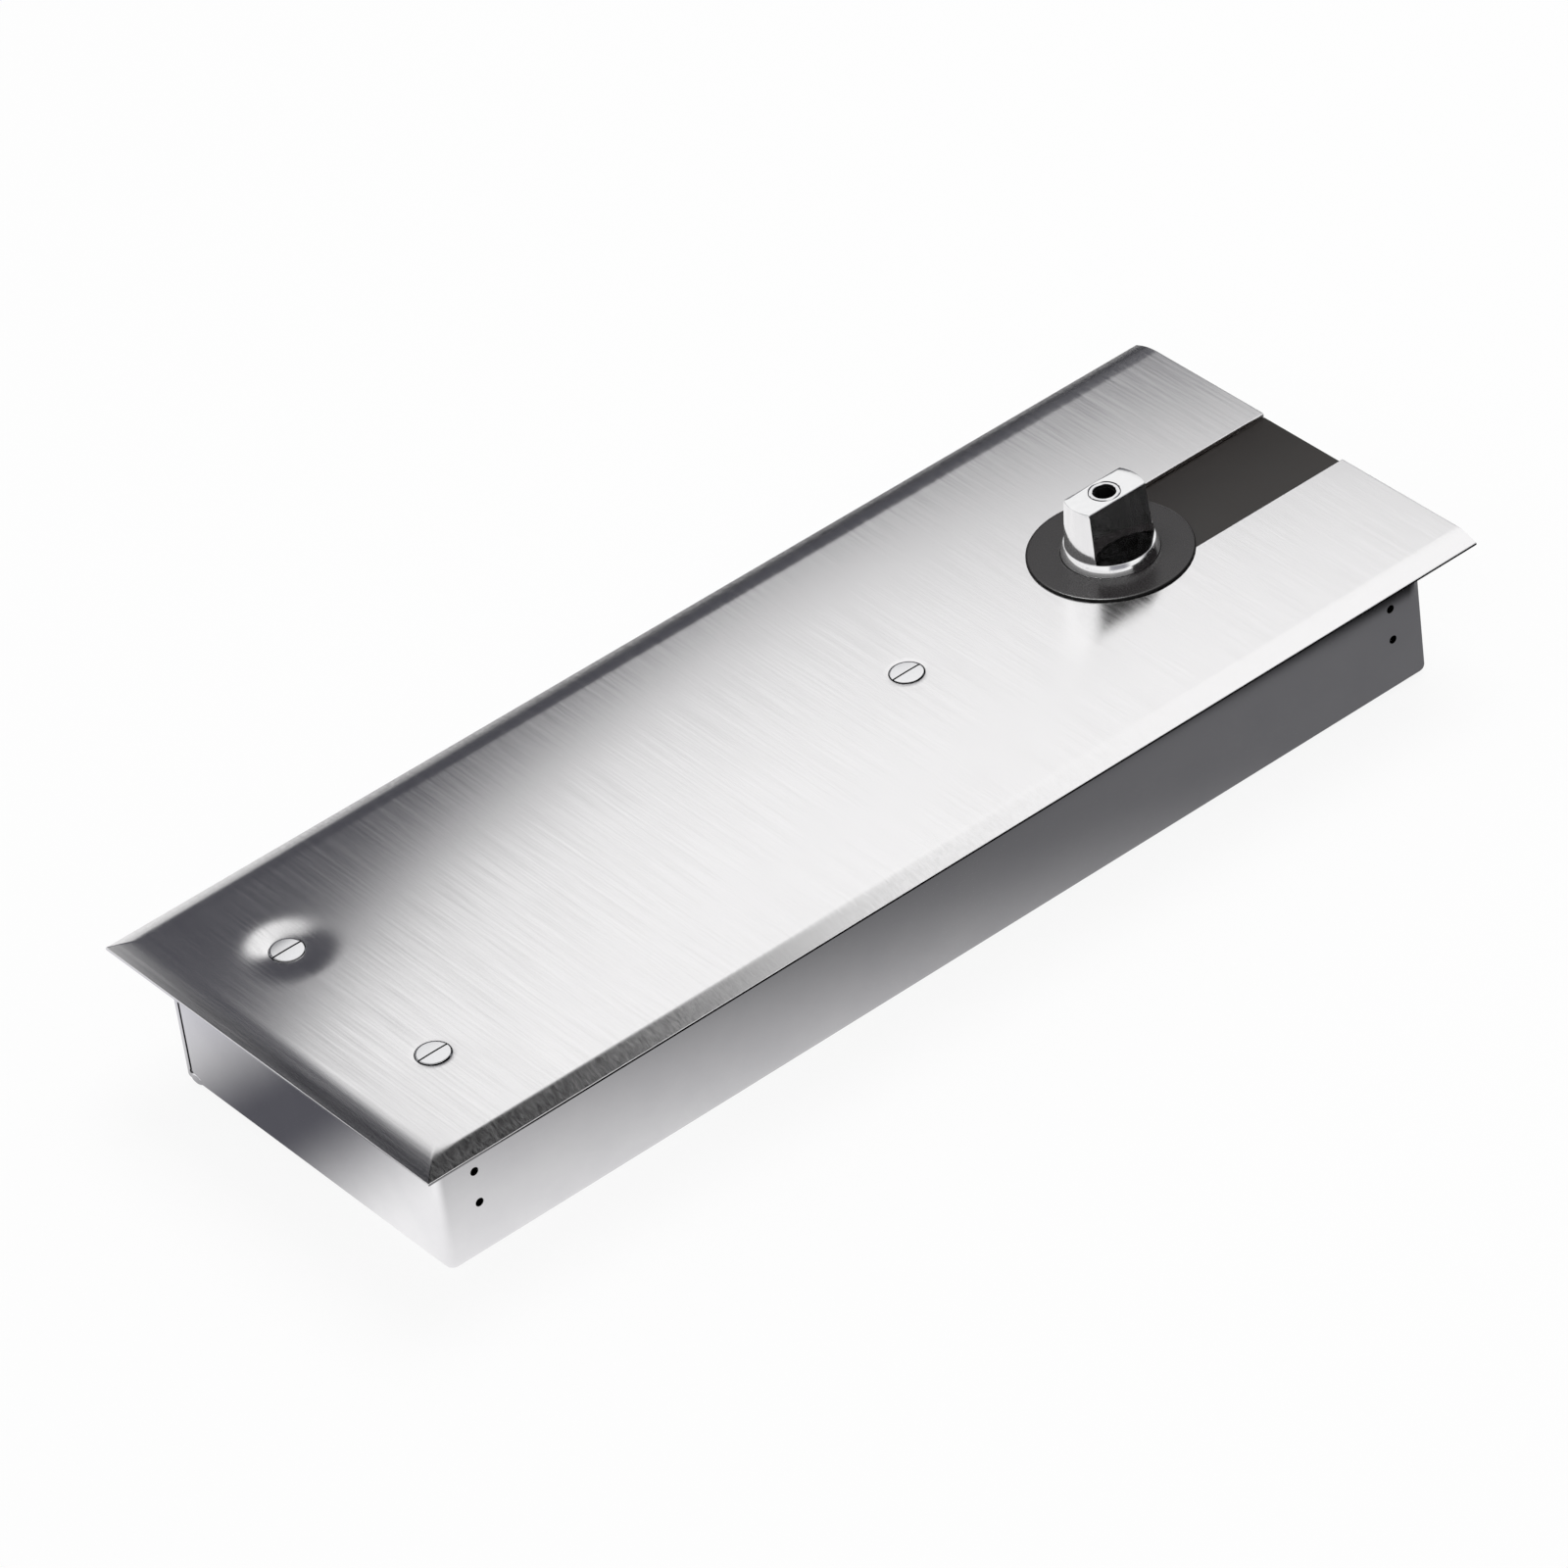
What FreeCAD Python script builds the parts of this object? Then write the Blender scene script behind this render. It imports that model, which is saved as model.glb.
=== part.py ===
import FreeCAD, Part
import math
import os

os.makedirs("parts", exist_ok=True)

V = FreeCAD.Vector

# A low floor spring for a double-action door, in its cement case.
# X runs along the case, towards the spindle end. Z is up, from the underside of the case.

# ---------------------------------------------------------------- driving dimensions, mm
# Cover plate: a stainless sheet with a sloping rim.
COVER_L = 325.0
COVER_W = 125.0
COVER_T = 1.5
BEVEL_RUN = 5.0
BEVEL_DROP = 1.8
RIM_EDGE = 0.65
RIM_LIP = 0.3
SLOT_W = 29.0
DIMPLE_R = 11.0
DIMPLE_DEPTH = 0.3

# Cement case: a folded sheet box, set in from the edges of the cover.
CASE_INSET_X = 8.85
CASE_INSET_Y = 11.2
CASE_T = 1.5
CASE_CORNER_R = 2.5
CASE_FOOT_R = 1.2
SEAM_GAP = 0.8
SEAM_FOOT = 2.7
SEAM_RELIEF_R = 1.3
WALL_HOLE_R = 1.1
WALL_HOLE_INSET = 10.65
WALL_HOLE_LOW = 15.2
WALL_HOLE_PITCH = 9.3

# Spindle axis and the part of the spindle that stands out of the floor.
SPINDLE_INSET = 54.65
COLLAR_R = 12.0
COLLAR_PROUD = 3.8
CONE_FOOT_R = 11.4
CONE_TOP_R = 9.75
CONE_H = 14.2
FLAT_FOOT_HALF = 5.9
FLAT_TOP_HALF = 4.7
INSERT_SQUARE = 9.0
INSERT_SQUARE_L = 8.7
INSERT_SCREW_HEAD_R = 3.95
INSERT_SCREW_HEAD_L = 6.0
INSERT_SCREW_R = 3.0
INSERT_SCREW_THREAD_L = 8.0
INSERT_SOCKET_AF = 5.2
INSERT_SOCKET_DEPTH = 4.5

# Rosette round the collar and the strip that fills the slot.
ROSETTE_R = 20.5
ROSETTE_H = 0.75
ROSETTE_EDGE_R = 0.45
STRIP_SINK = 0.9
STRIP_FLANGE_T = 0.5
STRIP_FLANGE_OUT = 3.5

# Cover screws: oval head, slotted.
COVER_SCREW_HEAD_R = 4.6
COVER_SCREW_CONE = 2.1
COVER_SCREW_R = 2.5
COVER_SCREW_L = 6.5
COVER_SCREW_DOME = 0.35
COVER_SCREW_SLOT_W = 0.8
COVER_SCREW_SLOT_DEPTH = 1.2
END_SCREW_INSET = 28.3
END_SCREW_Y = 28.2
MID_SCREW_TO_SPINDLE = 65.6

# Cast housing of the closer.
HOUSING_FLOAT = 2.5
HOUSING_HALF_W = 22.0
HOUSING_EDGE_R = 6.0
HOUSING_L = 211.0
BORE_R = 12.5
BORE_FLOOR = 3.0
CHAMBER_R = 24.0
CHAMBER_WALL = 7.0
PLUG_R = 13.5
PLUG_L = 22.0
PLUG_SPIGOT_L = 6.0
PLUG_SOCKET_AF = 12.0
PLUG_SOCKET_DEPTH = 8.0
EAR_WALL_INSET = 10.8
EAR_HALF_L = 12.0
EAR_OUT = 7.0
EAR_T = 7.0
EAR_LIFT = 8.6
EAR_END_INSET = 20.0
CLAMP_OFFSET = 6.0

# Fasteners of the housing in the case.
M6_R = 3.0
M6_CLEARANCE_R = 3.4
M6_HEAD_R = 5.0
M6_HEAD_H = 6.0
M6_SOCKET_AF = 5.0
WASHER_R = 6.2
WASHER_T = 1.2
BRACKET_T = 2.0
BRACKET_HALF_L = 14.0
PAD_HALF_W = 6.5

# Spindle shaft, cam and bearings.
SHAFT_R = 8.0
SHAFT_COLLAR_R = 9.5
SHAFT_PROUD = 0.75
CAM_T = 9.0
CAM_PITCH_R0 = 18.0
CAM_RISE = 5.3
CAM_SPAN_DEG = 135.0
ROLLER_R = 8.0
ROLLER_T = 8.8
ROLLER_PIN_R = 3.5
KEY_W = 3.0
KEY_H = 2.6
BUSH_T = 2.5
THRUST_T = 0.55
BALL_R = 2.2
BALL_PITCH_R = 12.0
BALL_COUNT = 12
BEARING_H = 8.0
BEARING_R = 16.0
RACE_GAP = 1.7
CAGE_T = 1.2
CAGE_H = 6.4

# Top cap over the cam chamber.
CAP_FLANGE_T = 3.0
SEAL_R = 12.0
SEAL_H = 2.0
CAP_SCREW_R = 1.5
CAP_SCREW_HEAD_R = 2.7
CAP_SCREW_L = 9.0
CAP_SCREW_COUNT = 6

# Piston with its roller fork.
PISTON_L = 30.0
FORK_CHEEK_T = 4.0
FORK_HALF_W = 8.0
FORK_NOSE = 5.0
PISTON_GAP_TO_ROLLER = 1.5
SEAL_GROOVE_W = 3.0
SEAL_GROOVE_DEPTH = 2.0
SEAL_GROOVE_INSET = 4.0
SPRING_SPIGOT_R = 7.2
SPRING_SPIGOT_L = 5.0
PASSAGE_R = 1.5
CHECK_BALL_R = 2.0
CHECK_CHAMBER_R = 2.4
CHECK_LIFT = 0.8
CHECK_SEAT_R = 4.0
CHECK_SEAT_L = 8.0
CHECK_SEAT_HOLE_R = 1.2

# Main spring.
SPRING_MEAN_R = 9.8
SPRING_WIRE_R = 2.1
SPRING_COILS = 15.0

# Throttle valves and the oil way.
OIL_WAY_R = 1.5
OIL_PORT_R = 1.2
VALVE_SEAT_R = 1.4
OIL_WAY_WALL = 2.5
OIL_WAY_PLUG_R = 2.5
OIL_WAY_PLUG_L = 6.0
VALVE_R = 4.0
VALVE_L = 8.8
VALVE_NEEDLE_R = 1.1
VALVE_SOCKET_AF = 4.0
VALVE_SOCKET_DEPTH = 3.0
VALVE_SEAL_W = 1.6
VALVE_SEAL_DEPTH = 1.0
CLOSING_VALVE_TO_SPINDLE = 47.0
LATCHING_VALVE_TO_SPINDLE = 75.0

# Bracket that takes the two end screws of the cover.
COVER_BRACKET_T = 1.5
COVER_BRACKET_MARGIN = 3.6
COVER_BRACKET_LEG = 14.0
COVER_BRACKET_HALF_W = 40.0
SCREW_BOSS_R = 4.4

# Clearances.
RUNNING_FIT = 0.05
SLIP_GAP = 0.1
MOVING_GAP = 0.3
CAP_TO_COVER = 0.8

# ---------------------------------------------------------------- sizes that follow
CASE_L = COVER_L - 2 * CASE_INSET_X
CASE_W = COVER_W - 2 * CASE_INSET_Y
CASE_INNER_X = CASE_L / 2 - CASE_T
CASE_INNER_Y = CASE_W / 2 - CASE_T
WALL_HOLE_X = CASE_L / 2 - WALL_HOLE_INSET
EAR_Y = CASE_INNER_Y - EAR_WALL_INSET

# Along the case: the closer is placed from its spindle.
SPINDLE_X = CASE_L / 2 - SPINDLE_INSET
MID_SCREW_X = SPINDLE_X - MID_SCREW_TO_SPINDLE
END_SCREW_X = END_SCREW_INSET - COVER_L / 2
HOUSING_END_X = SPINDLE_X - HOUSING_L
EAR_X_PLUG_END = HOUSING_END_X + EAR_END_INSET
CLOSING_VALVE_X = SPINDLE_X - CLOSING_VALVE_TO_SPINDLE
LATCHING_VALVE_X = SPINDLE_X - LATCHING_VALVE_TO_SPINDLE

# Up from the case floor: float, bore, fork, bearing, seal, cap, cover.
HOUSING_Z0 = CASE_T + HOUSING_FLOAT
BORE_Z = HOUSING_Z0 + BORE_FLOOR + BORE_R
CAM_Z0 = BORE_Z - CAM_T / 2
CAM_Z1 = BORE_Z + CAM_T / 2
CHEEK_IN = CAM_T / 2 + MOVING_GAP
CHEEK_OUT = CHEEK_IN + FORK_CHEEK_T
CHAMBER_FLOOR = BORE_Z - CHEEK_OUT - MOVING_GAP
CAP_FOOT = BORE_Z + CHEEK_OUT + MOVING_GAP
BEARING_Z0 = CAP_FOOT + MOVING_GAP
BEARING_Z1 = BEARING_Z0 + BEARING_H
CAP_TOP = BEARING_Z1 + SEAL_H + SLIP_GAP
HOUSING_TOP = CAP_TOP - CAP_FLANGE_T
SHAFT_TOP = CAP_TOP + SHAFT_PROUD
CASE_H = CAP_TOP + CAP_TO_COVER
COVER_TOP = CASE_H + COVER_T
COLLAR_TOP = COVER_TOP + COLLAR_PROUD
RIM_TOP = COVER_TOP - BEVEL_DROP
RIM_FOOT = RIM_TOP - RIM_EDGE

SLOT_R = SLOT_W / 2
HOUSING_ROUND_R = CHAMBER_R + CHAMBER_WALL
ROLLER_X = SPINDLE_X - CAM_PITCH_R0
PISTON_FRONT = ROLLER_X - ROLLER_R - PISTON_GAP_TO_ROLLER
PISTON_REAR = PISTON_FRONT - PISTON_L
PISTON_R = BORE_R - RUNNING_FIT
PLUG_IN_X = HOUSING_END_X + PLUG_L
SPRING_SEAT_X = PLUG_IN_X + PLUG_SPIGOT_L
OIL_WAY_Y = BORE_R + OIL_WAY_WALL + OIL_WAY_R
EAR_Z0 = HOUSING_Z0 + EAR_LIFT
EAR_TOP = EAR_Z0 + EAR_T
PAD_TOP = EAR_Z0 - 2 * MOVING_GAP
CONE_TOP = COLLAR_TOP + CONE_H
CHAMBER_BACK_X = SPINDLE_X - math.sqrt(CHAMBER_R ** 2 - OIL_WAY_Y ** 2)


# ---------------------------------------------------------------- shape helpers
def box(x0, x1, y0, y1, z0, z1):
    return Part.makeBox(x1 - x0, y1 - y0, z1 - z0, V(x0, y0, z0))


def rod_z(radius, z0, z1, x=0.0, y=0.0):
    return Part.makeCylinder(radius, z1 - z0, V(x, y, z0), V(0, 0, 1))


def rod_x(radius, x0, x1, y=0.0, z=0.0):
    return Part.makeCylinder(radius, x1 - x0, V(x0, y, z), V(1, 0, 0))


def rod_y(radius, y0, y1, x=0.0, z=0.0):
    return Part.makeCylinder(radius, y1 - y0, V(x, y0, z), V(0, 1, 0))


def tube_z(outer, inner, z0, z1, x=0.0, y=0.0):
    return rod_z(outer, z0, z1, x, y).cut(rod_z(inner, z0, z1, x, y))


def tube_x(outer, inner, x0, x1, y=0.0, z=0.0):
    return rod_x(outer, x0, x1, y, z).cut(rod_x(inner, x0, x1, y, z))


def cone_z(r0, r1, z0, z1, x=0.0, y=0.0):
    return Part.makeCone(r0, r1, z1 - z0, V(x, y, z0), V(0, 0, 1))


def hexagon_z(across_flats, z0, z1, x=0.0, y=0.0):
    radius = across_flats / math.sqrt(3.0)
    points = []
    for i in range(7):
        angle = math.radians(60.0 * i)
        points.append(V(x + radius * math.cos(angle), y + radius * math.sin(angle), z0))
    face = Part.Face(Part.makePolygon(points))
    return face.extrude(V(0, 0, z1 - z0))


def hexagon_x(across_flats, x0, x1, y, z):
    radius = across_flats / math.sqrt(3.0)
    points = []
    for i in range(7):
        angle = math.radians(60.0 * i)
        points.append(V(x0, y + radius * math.cos(angle), z + radius * math.sin(angle)))
    face = Part.Face(Part.makePolygon(points))
    return face.extrude(V(x1 - x0, 0, 0))


def rectangle(half_x, half_y, z):
    corners = [(-half_x, -half_y), (half_x, -half_y), (half_x, half_y), (-half_x, half_y)]
    points = [V(x, y, z) for x, y in corners]
    points.append(points[0])
    return Part.makePolygon(points)


def frustum(half_x0, half_y0, z0, half_x1, half_y1, z1):
    wires = [rectangle(half_x0, half_y0, z0), rectangle(half_x1, half_y1, z1)]
    return Part.makeLoft(wires, True, True)


def fuse_all(shapes):
    result = shapes[0]
    if len(shapes) > 1:
        result = result.multiFuse(shapes[1:])
    return result.removeSplitter()


def cut_all(shape, tools):
    result = shape
    for tool in tools:
        result = result.cut(tool)
    return result.removeSplitter()


def edges_at(shape, test):
    found = []
    for edge in shape.Edges:
        ends = [v.Point for v in edge.Vertexes]
        if len(ends) == 2 and test(ends[0], ends[1]):
            found.append(edge)
    return found


def is_upright(a, b):
    return abs(a.x - b.x) < 1e-6 and abs(a.y - b.y) < 1e-6


def save(shape, name):
    shape.exportStep("parts/" + name + ".step")


def save_set(solids, name):
    save(Part.makeCompound(solids), name)


# ---------------------------------------------------------------- positions of the fasteners
COVER_SCREWS = [(END_SCREW_X, -END_SCREW_Y), (END_SCREW_X, END_SCREW_Y), (MID_SCREW_X, 0.0)]
EARS = [(EAR_X_PLUG_END, -1), (EAR_X_PLUG_END, 1), (SPINDLE_X, -1), (SPINDLE_X, 1)]
CAP_SCREW_PITCH_R = CHAMBER_R + CHAMBER_WALL / 2
CAP_SCREWS = []
for i in range(CAP_SCREW_COUNT):
    turn = 2 * math.pi * (i + 0.5) / CAP_SCREW_COUNT
    CAP_SCREWS.append((SPINDLE_X + CAP_SCREW_PITCH_R * math.cos(turn), CAP_SCREW_PITCH_R * math.sin(turn)))


# ---------------------------------------------------------------- cement case
def make_case():
    half_l = CASE_L / 2
    half_w = CASE_W / 2
    shell = box(-half_l, half_l, -half_w, half_w, 0, CASE_H)

    def rounded_corner(a, b):
        return is_upright(a, b) and not (a.x < 0 and a.y > 0)

    def foot(a, b):
        return a.z < 1e-6 and b.z < 1e-6

    shell = shell.makeFillet(CASE_CORNER_R, edges_at(shell, rounded_corner))
    inner = box(-CASE_INNER_X, CASE_INNER_X, -CASE_INNER_Y, CASE_INNER_Y, CASE_T, CASE_H + 1)
    inner = inner.makeFillet(CASE_CORNER_R - CASE_T, edges_at(inner, rounded_corner))
    shell = shell.makeChamfer(CASE_FOOT_R, [e for e in shell.Edges if abs(e.BoundBox.ZMax) < 1e-6])
    shell = shell.cut(inner)
    seam = box(-half_l - 1, -CASE_INNER_X, CASE_INNER_Y - SEAM_GAP, CASE_INNER_Y, SEAM_FOOT, CASE_H + 1)
    relief = rod_x(SEAM_RELIEF_R, -half_l - 1, -CASE_INNER_X, CASE_INNER_Y - SEAM_GAP / 2, SEAM_FOOT)
    tools = [seam, relief]
    for x in (-WALL_HOLE_X, WALL_HOLE_X):
        for level in (WALL_HOLE_LOW, WALL_HOLE_LOW + WALL_HOLE_PITCH):
            tools.append(rod_y(WALL_HOLE_R, -half_w - 1, half_w + 1, x, level))
    return cut_all(shell, tools)


def make_support_bracket(x):
    pad_out = EAR_Y + PAD_HALF_W
    base = box(x - BRACKET_HALF_L, x + BRACKET_HALF_L, -pad_out, pad_out, CASE_T, CASE_T + BRACKET_T)
    pieces = [base]
    for side in (-1, 1):
        y0 = side * EAR_Y - PAD_HALF_W
        y1 = side * EAR_Y + PAD_HALF_W
        pieces.append(box(x - BRACKET_HALF_L, x + BRACKET_HALF_L, y0, y1, CASE_T, PAD_TOP))
    bracket = fuse_all(pieces)
    tools = [rod_z(M6_R, CASE_T + BRACKET_T, PAD_TOP + 1, x - CLAMP_OFFSET, s * EAR_Y) for s in (-1, 1)]
    # The pads stay clear of the round end of the housing.
    tools.append(rod_z(HOUSING_ROUND_R + MOVING_GAP, CASE_T + BRACKET_T, PAD_TOP + 1, SPINDLE_X))
    return cut_all(bracket, tools)


def screw_cone(x, y, gap=0.0):
    top = COVER_TOP - DIMPLE_DEPTH
    head = cone_z(COVER_SCREW_R + gap, COVER_SCREW_HEAD_R + gap, top - COVER_SCREW_CONE, top, x, y)
    return head.fuse(rod_z(COVER_SCREW_HEAD_R + gap, top, COVER_TOP + 1, x, y))


def make_cover_bracket():
    x0 = -CASE_INNER_X
    top = CASE_H
    reach = END_SCREW_X + SCREW_BOSS_R + COVER_BRACKET_MARGIN
    flange = box(x0, reach, -COVER_BRACKET_HALF_W, COVER_BRACKET_HALF_W, top - COVER_BRACKET_T, top)
    leg = box(x0, x0 + COVER_BRACKET_T, -COVER_BRACKET_HALF_W, COVER_BRACKET_HALF_W,
              top - COVER_BRACKET_LEG, top)
    pieces = [flange, leg]
    tools = []
    foot = COVER_TOP - DIMPLE_DEPTH - COVER_SCREW_L
    for side in (-1, 1):
        pieces.append(rod_z(SCREW_BOSS_R, foot, top, END_SCREW_X, side * END_SCREW_Y))
        tools.append(rod_z(COVER_SCREW_R, foot - 1, top + 1, END_SCREW_X, side * END_SCREW_Y))
        tools.append(screw_cone(END_SCREW_X, side * END_SCREW_Y, SLIP_GAP))
    return cut_all(fuse_all(pieces), tools)


# ---------------------------------------------------------------- cover, rosette, strip
def make_cover():
    half_l = COVER_L / 2
    half_w = COVER_W / 2
    slope = BEVEL_RUN / BEVEL_DROP
    rim = box(-half_l, half_l, -half_w, half_w, RIM_FOOT, RIM_TOP)
    dome = frustum(half_l, half_w, RIM_TOP, half_l - BEVEL_RUN, half_w - BEVEL_RUN, COVER_TOP)
    plate = fuse_all([rim, dome])
    lip_x = half_l - RIM_LIP
    lip_y = half_w - RIM_LIP
    run = (CASE_H - RIM_FOOT) * slope
    hollow = frustum(lip_x, lip_y, RIM_FOOT, lip_x - run, lip_y - run, CASE_H)
    slot = box(SPINDLE_X, half_l + 1, -SLOT_R, SLOT_R, 0, COVER_TOP + 1)
    tools = [hollow, slot, rod_z(SLOT_R, 0, COVER_TOP + 1, SPINDLE_X)]
    ball_r = (DIMPLE_R ** 2 + DIMPLE_DEPTH ** 2) / (2 * DIMPLE_DEPTH)
    for x, y in COVER_SCREWS:
        tools.append(Part.makeSphere(ball_r, V(x, y, COVER_TOP + ball_r - DIMPLE_DEPTH)))
        tools.append(screw_cone(x, y, SLIP_GAP))
        tools.append(rod_z(COVER_SCREW_R + SLIP_GAP, 0, COVER_TOP, x, y))
    return cut_all(plate, tools)


def make_cover_screw(x, y):
    top = COVER_TOP - DIMPLE_DEPTH
    head = cone_z(COVER_SCREW_R, COVER_SCREW_HEAD_R, top - COVER_SCREW_CONE, top, x, y)
    shank = rod_z(COVER_SCREW_R, top - COVER_SCREW_L, top - COVER_SCREW_CONE, x, y)
    ball_r = (COVER_SCREW_HEAD_R ** 2 + COVER_SCREW_DOME ** 2) / (2 * COVER_SCREW_DOME)
    dome = Part.makeSphere(ball_r, V(x, y, top + COVER_SCREW_DOME - ball_r))
    dome = dome.common(rod_z(COVER_SCREW_HEAD_R, top, top + 1, x, y))
    screw = fuse_all([head, shank, dome])
    slot = box(x - COVER_SCREW_HEAD_R - 1, x + COVER_SCREW_HEAD_R + 1,
               y - COVER_SCREW_SLOT_W / 2, y + COVER_SCREW_SLOT_W / 2,
               top + COVER_SCREW_DOME - COVER_SCREW_SLOT_DEPTH, top + 1)
    return cut_all(screw, [slot])


def make_rosette():
    disc = rod_z(ROSETTE_R, COVER_TOP, COVER_TOP + ROSETTE_H, SPINDLE_X)
    rim = [e for e in disc.Edges if abs(e.BoundBox.ZMin - COVER_TOP - ROSETTE_H) < 1e-4]
    disc = disc.makeFillet(ROSETTE_EDGE_R, rim)
    hub = rod_z(SLOT_R - SLIP_GAP, CAP_TOP, COVER_TOP, SPINDLE_X)
    ring = fuse_all([disc, hub])
    return cut_all(ring, [rod_z(COLLAR_R + MOVING_GAP, 0, COVER_TOP + 5, SPINDLE_X)])


def make_strip():
    end_x = COVER_L / 2 - SLIP_GAP
    top = COVER_TOP - STRIP_SINK
    slope = BEVEL_DROP / BEVEL_RUN
    low = CASE_H - STRIP_FLANGE_T
    bend_x = end_x - (top - RIM_TOP) / slope
    under_x = end_x - RIM_LIP
    half_w = SLOT_R - SLIP_GAP
    outline = [(SPINDLE_X, low), (CASE_INNER_X - SLIP_GAP, low), (CASE_INNER_X - SLIP_GAP, CASE_H),
               (under_x - (CASE_H - RIM_FOOT) / slope, CASE_H), (under_x, RIM_FOOT), (end_x, RIM_FOOT),
               (end_x, RIM_TOP), (bend_x, top), (SPINDLE_X, top)]
    points = [V(x, -half_w, z) for x, z in outline]
    points.append(points[0])
    bar = Part.Face(Part.makePolygon(points)).extrude(V(0, 2 * half_w, 0))
    flange_y = SLOT_R + STRIP_FLANGE_OUT
    flange = box(SPINDLE_X, CASE_INNER_X - SLIP_GAP, -flange_y, flange_y, low, CASE_H)
    strip = fuse_all([bar, flange])
    return cut_all(strip, [rod_z(SLOT_R + SLIP_GAP, 0, COVER_TOP + 1, SPINDLE_X)])


# ---------------------------------------------------------------- housing
def make_housing():
    barrel = box(HOUSING_END_X, SPINDLE_X, -HOUSING_HALF_W, HOUSING_HALF_W, HOUSING_Z0, HOUSING_TOP)

    def along_x(a, b):
        return abs(a.y - b.y) < 1e-6 and abs(a.z - b.z) < 1e-6

    barrel = barrel.makeFillet(HOUSING_EDGE_R, edges_at(barrel, along_x))
    pieces = [barrel, rod_z(HOUSING_ROUND_R, HOUSING_Z0, HOUSING_TOP, SPINDLE_X)]
    for x, side in EARS:
        reach = side * (EAR_Y + EAR_OUT)
        y0 = min(0.0, reach)
        y1 = max(0.0, reach)
        pieces.append(box(x - EAR_HALF_L, x + EAR_HALF_L, y0, y1, EAR_Z0, EAR_TOP))
    pieces.append(rod_z(SCREW_BOSS_R + 1, BORE_Z, CASE_H, MID_SCREW_X))
    body = fuse_all(pieces)
    tools = [
        rod_x(BORE_R, PLUG_IN_X, SPINDLE_X, 0, BORE_Z),
        rod_x(PLUG_R, HOUSING_END_X - 1, PLUG_IN_X, 0, BORE_Z),
        rod_z(CHAMBER_R, CHAMBER_FLOOR, HOUSING_TOP + 1, SPINDLE_X),
        rod_z(SHAFT_R + BUSH_T, HOUSING_Z0 + CASE_T, CHAMBER_FLOOR, SPINDLE_X),
        rod_x(OIL_WAY_R, HOUSING_END_X - 1, CHAMBER_BACK_X + 1, OIL_WAY_Y, BORE_Z),
        rod_x(OIL_WAY_PLUG_R, HOUSING_END_X - 1, HOUSING_END_X + OIL_WAY_PLUG_L, OIL_WAY_Y, BORE_Z),
        rod_z(COVER_SCREW_R, COVER_TOP - DIMPLE_DEPTH - COVER_SCREW_L, CASE_H + 1, MID_SCREW_X),
        screw_cone(MID_SCREW_X, 0.0, SLIP_GAP),
    ]
    for x in (SPRING_SEAT_X + SPRING_WIRE_R, CLOSING_VALVE_X, LATCHING_VALVE_X):
        tools.append(rod_y(OIL_PORT_R, BORE_R - OIL_PORT_R, OIL_WAY_Y, x, BORE_Z))
    for x in (CLOSING_VALVE_X, LATCHING_VALVE_X):
        seat = HOUSING_TOP - VALVE_L
        tools.append(rod_z(VALVE_R + RUNNING_FIT, seat - MOVING_GAP, HOUSING_TOP + 1, x, OIL_WAY_Y))
        tools.append(rod_z(VALVE_SEAT_R, BORE_Z, seat, x, OIL_WAY_Y))
    for x, side in EARS:
        y = side * EAR_Y
        tools.append(rod_z(M6_CLEARANCE_R, HOUSING_Z0 - 1, EAR_TOP + 1, x - CLAMP_OFFSET, y))
        tools.append(rod_z(WASHER_R + MOVING_GAP, EAR_TOP, HOUSING_TOP + 1, x - CLAMP_OFFSET, y))
        tools.append(rod_z(M6_R, EAR_Z0 - 1, EAR_TOP + 1, x + CLAMP_OFFSET, y))
        tools.append(rod_z(M6_CLEARANCE_R, HOUSING_Z0 - 1, EAR_Z0, x + CLAMP_OFFSET, y))
        tools.append(rod_z(M6_CLEARANCE_R, EAR_TOP, HOUSING_TOP + 1, x + CLAMP_OFFSET, y))
    for x, y in CAP_SCREWS:
        tools.append(rod_z(CAP_SCREW_R, CAP_TOP - CAP_SCREW_L, HOUSING_TOP + 1, x, y))
    return cut_all(body, tools)


def make_cap():
    flange = rod_z(HOUSING_ROUND_R, HOUSING_TOP, CAP_TOP, SPINDLE_X)
    spigot = rod_z(CHAMBER_R - SLIP_GAP, CAP_FOOT, HOUSING_TOP, SPINDLE_X)
    cap = fuse_all([flange, spigot])
    tools = [
        rod_z(BEARING_R, CAP_FOOT - 1, BEARING_Z1, SPINDLE_X),
        rod_z(SEAL_R, BEARING_Z1 - 1, CAP_TOP + 1, SPINDLE_X),
    ]
    for x, y in CAP_SCREWS:
        head_h = CAP_SCREW_HEAD_R - CAP_SCREW_R
        tools.append(rod_z(CAP_SCREW_R + SLIP_GAP, CAP_FOOT, CAP_TOP + 1, x, y))
        tools.append(cone_z(CAP_SCREW_R + SLIP_GAP, CAP_SCREW_HEAD_R + SLIP_GAP, CAP_TOP - head_h, CAP_TOP, x, y))
    return cut_all(cap, tools)


def make_cap_screw(x, y):
    head_h = CAP_SCREW_HEAD_R - CAP_SCREW_R
    head = cone_z(CAP_SCREW_R, CAP_SCREW_HEAD_R, CAP_TOP - head_h, CAP_TOP, x, y)
    shank = rod_z(CAP_SCREW_R, CAP_TOP - CAP_SCREW_L, CAP_TOP - head_h, x, y)
    socket = hexagon_z(CAP_SCREW_R, CAP_TOP - CAP_SCREW_R, CAP_TOP + 1, x, y)
    return cut_all(fuse_all([head, shank]), [socket])


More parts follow.
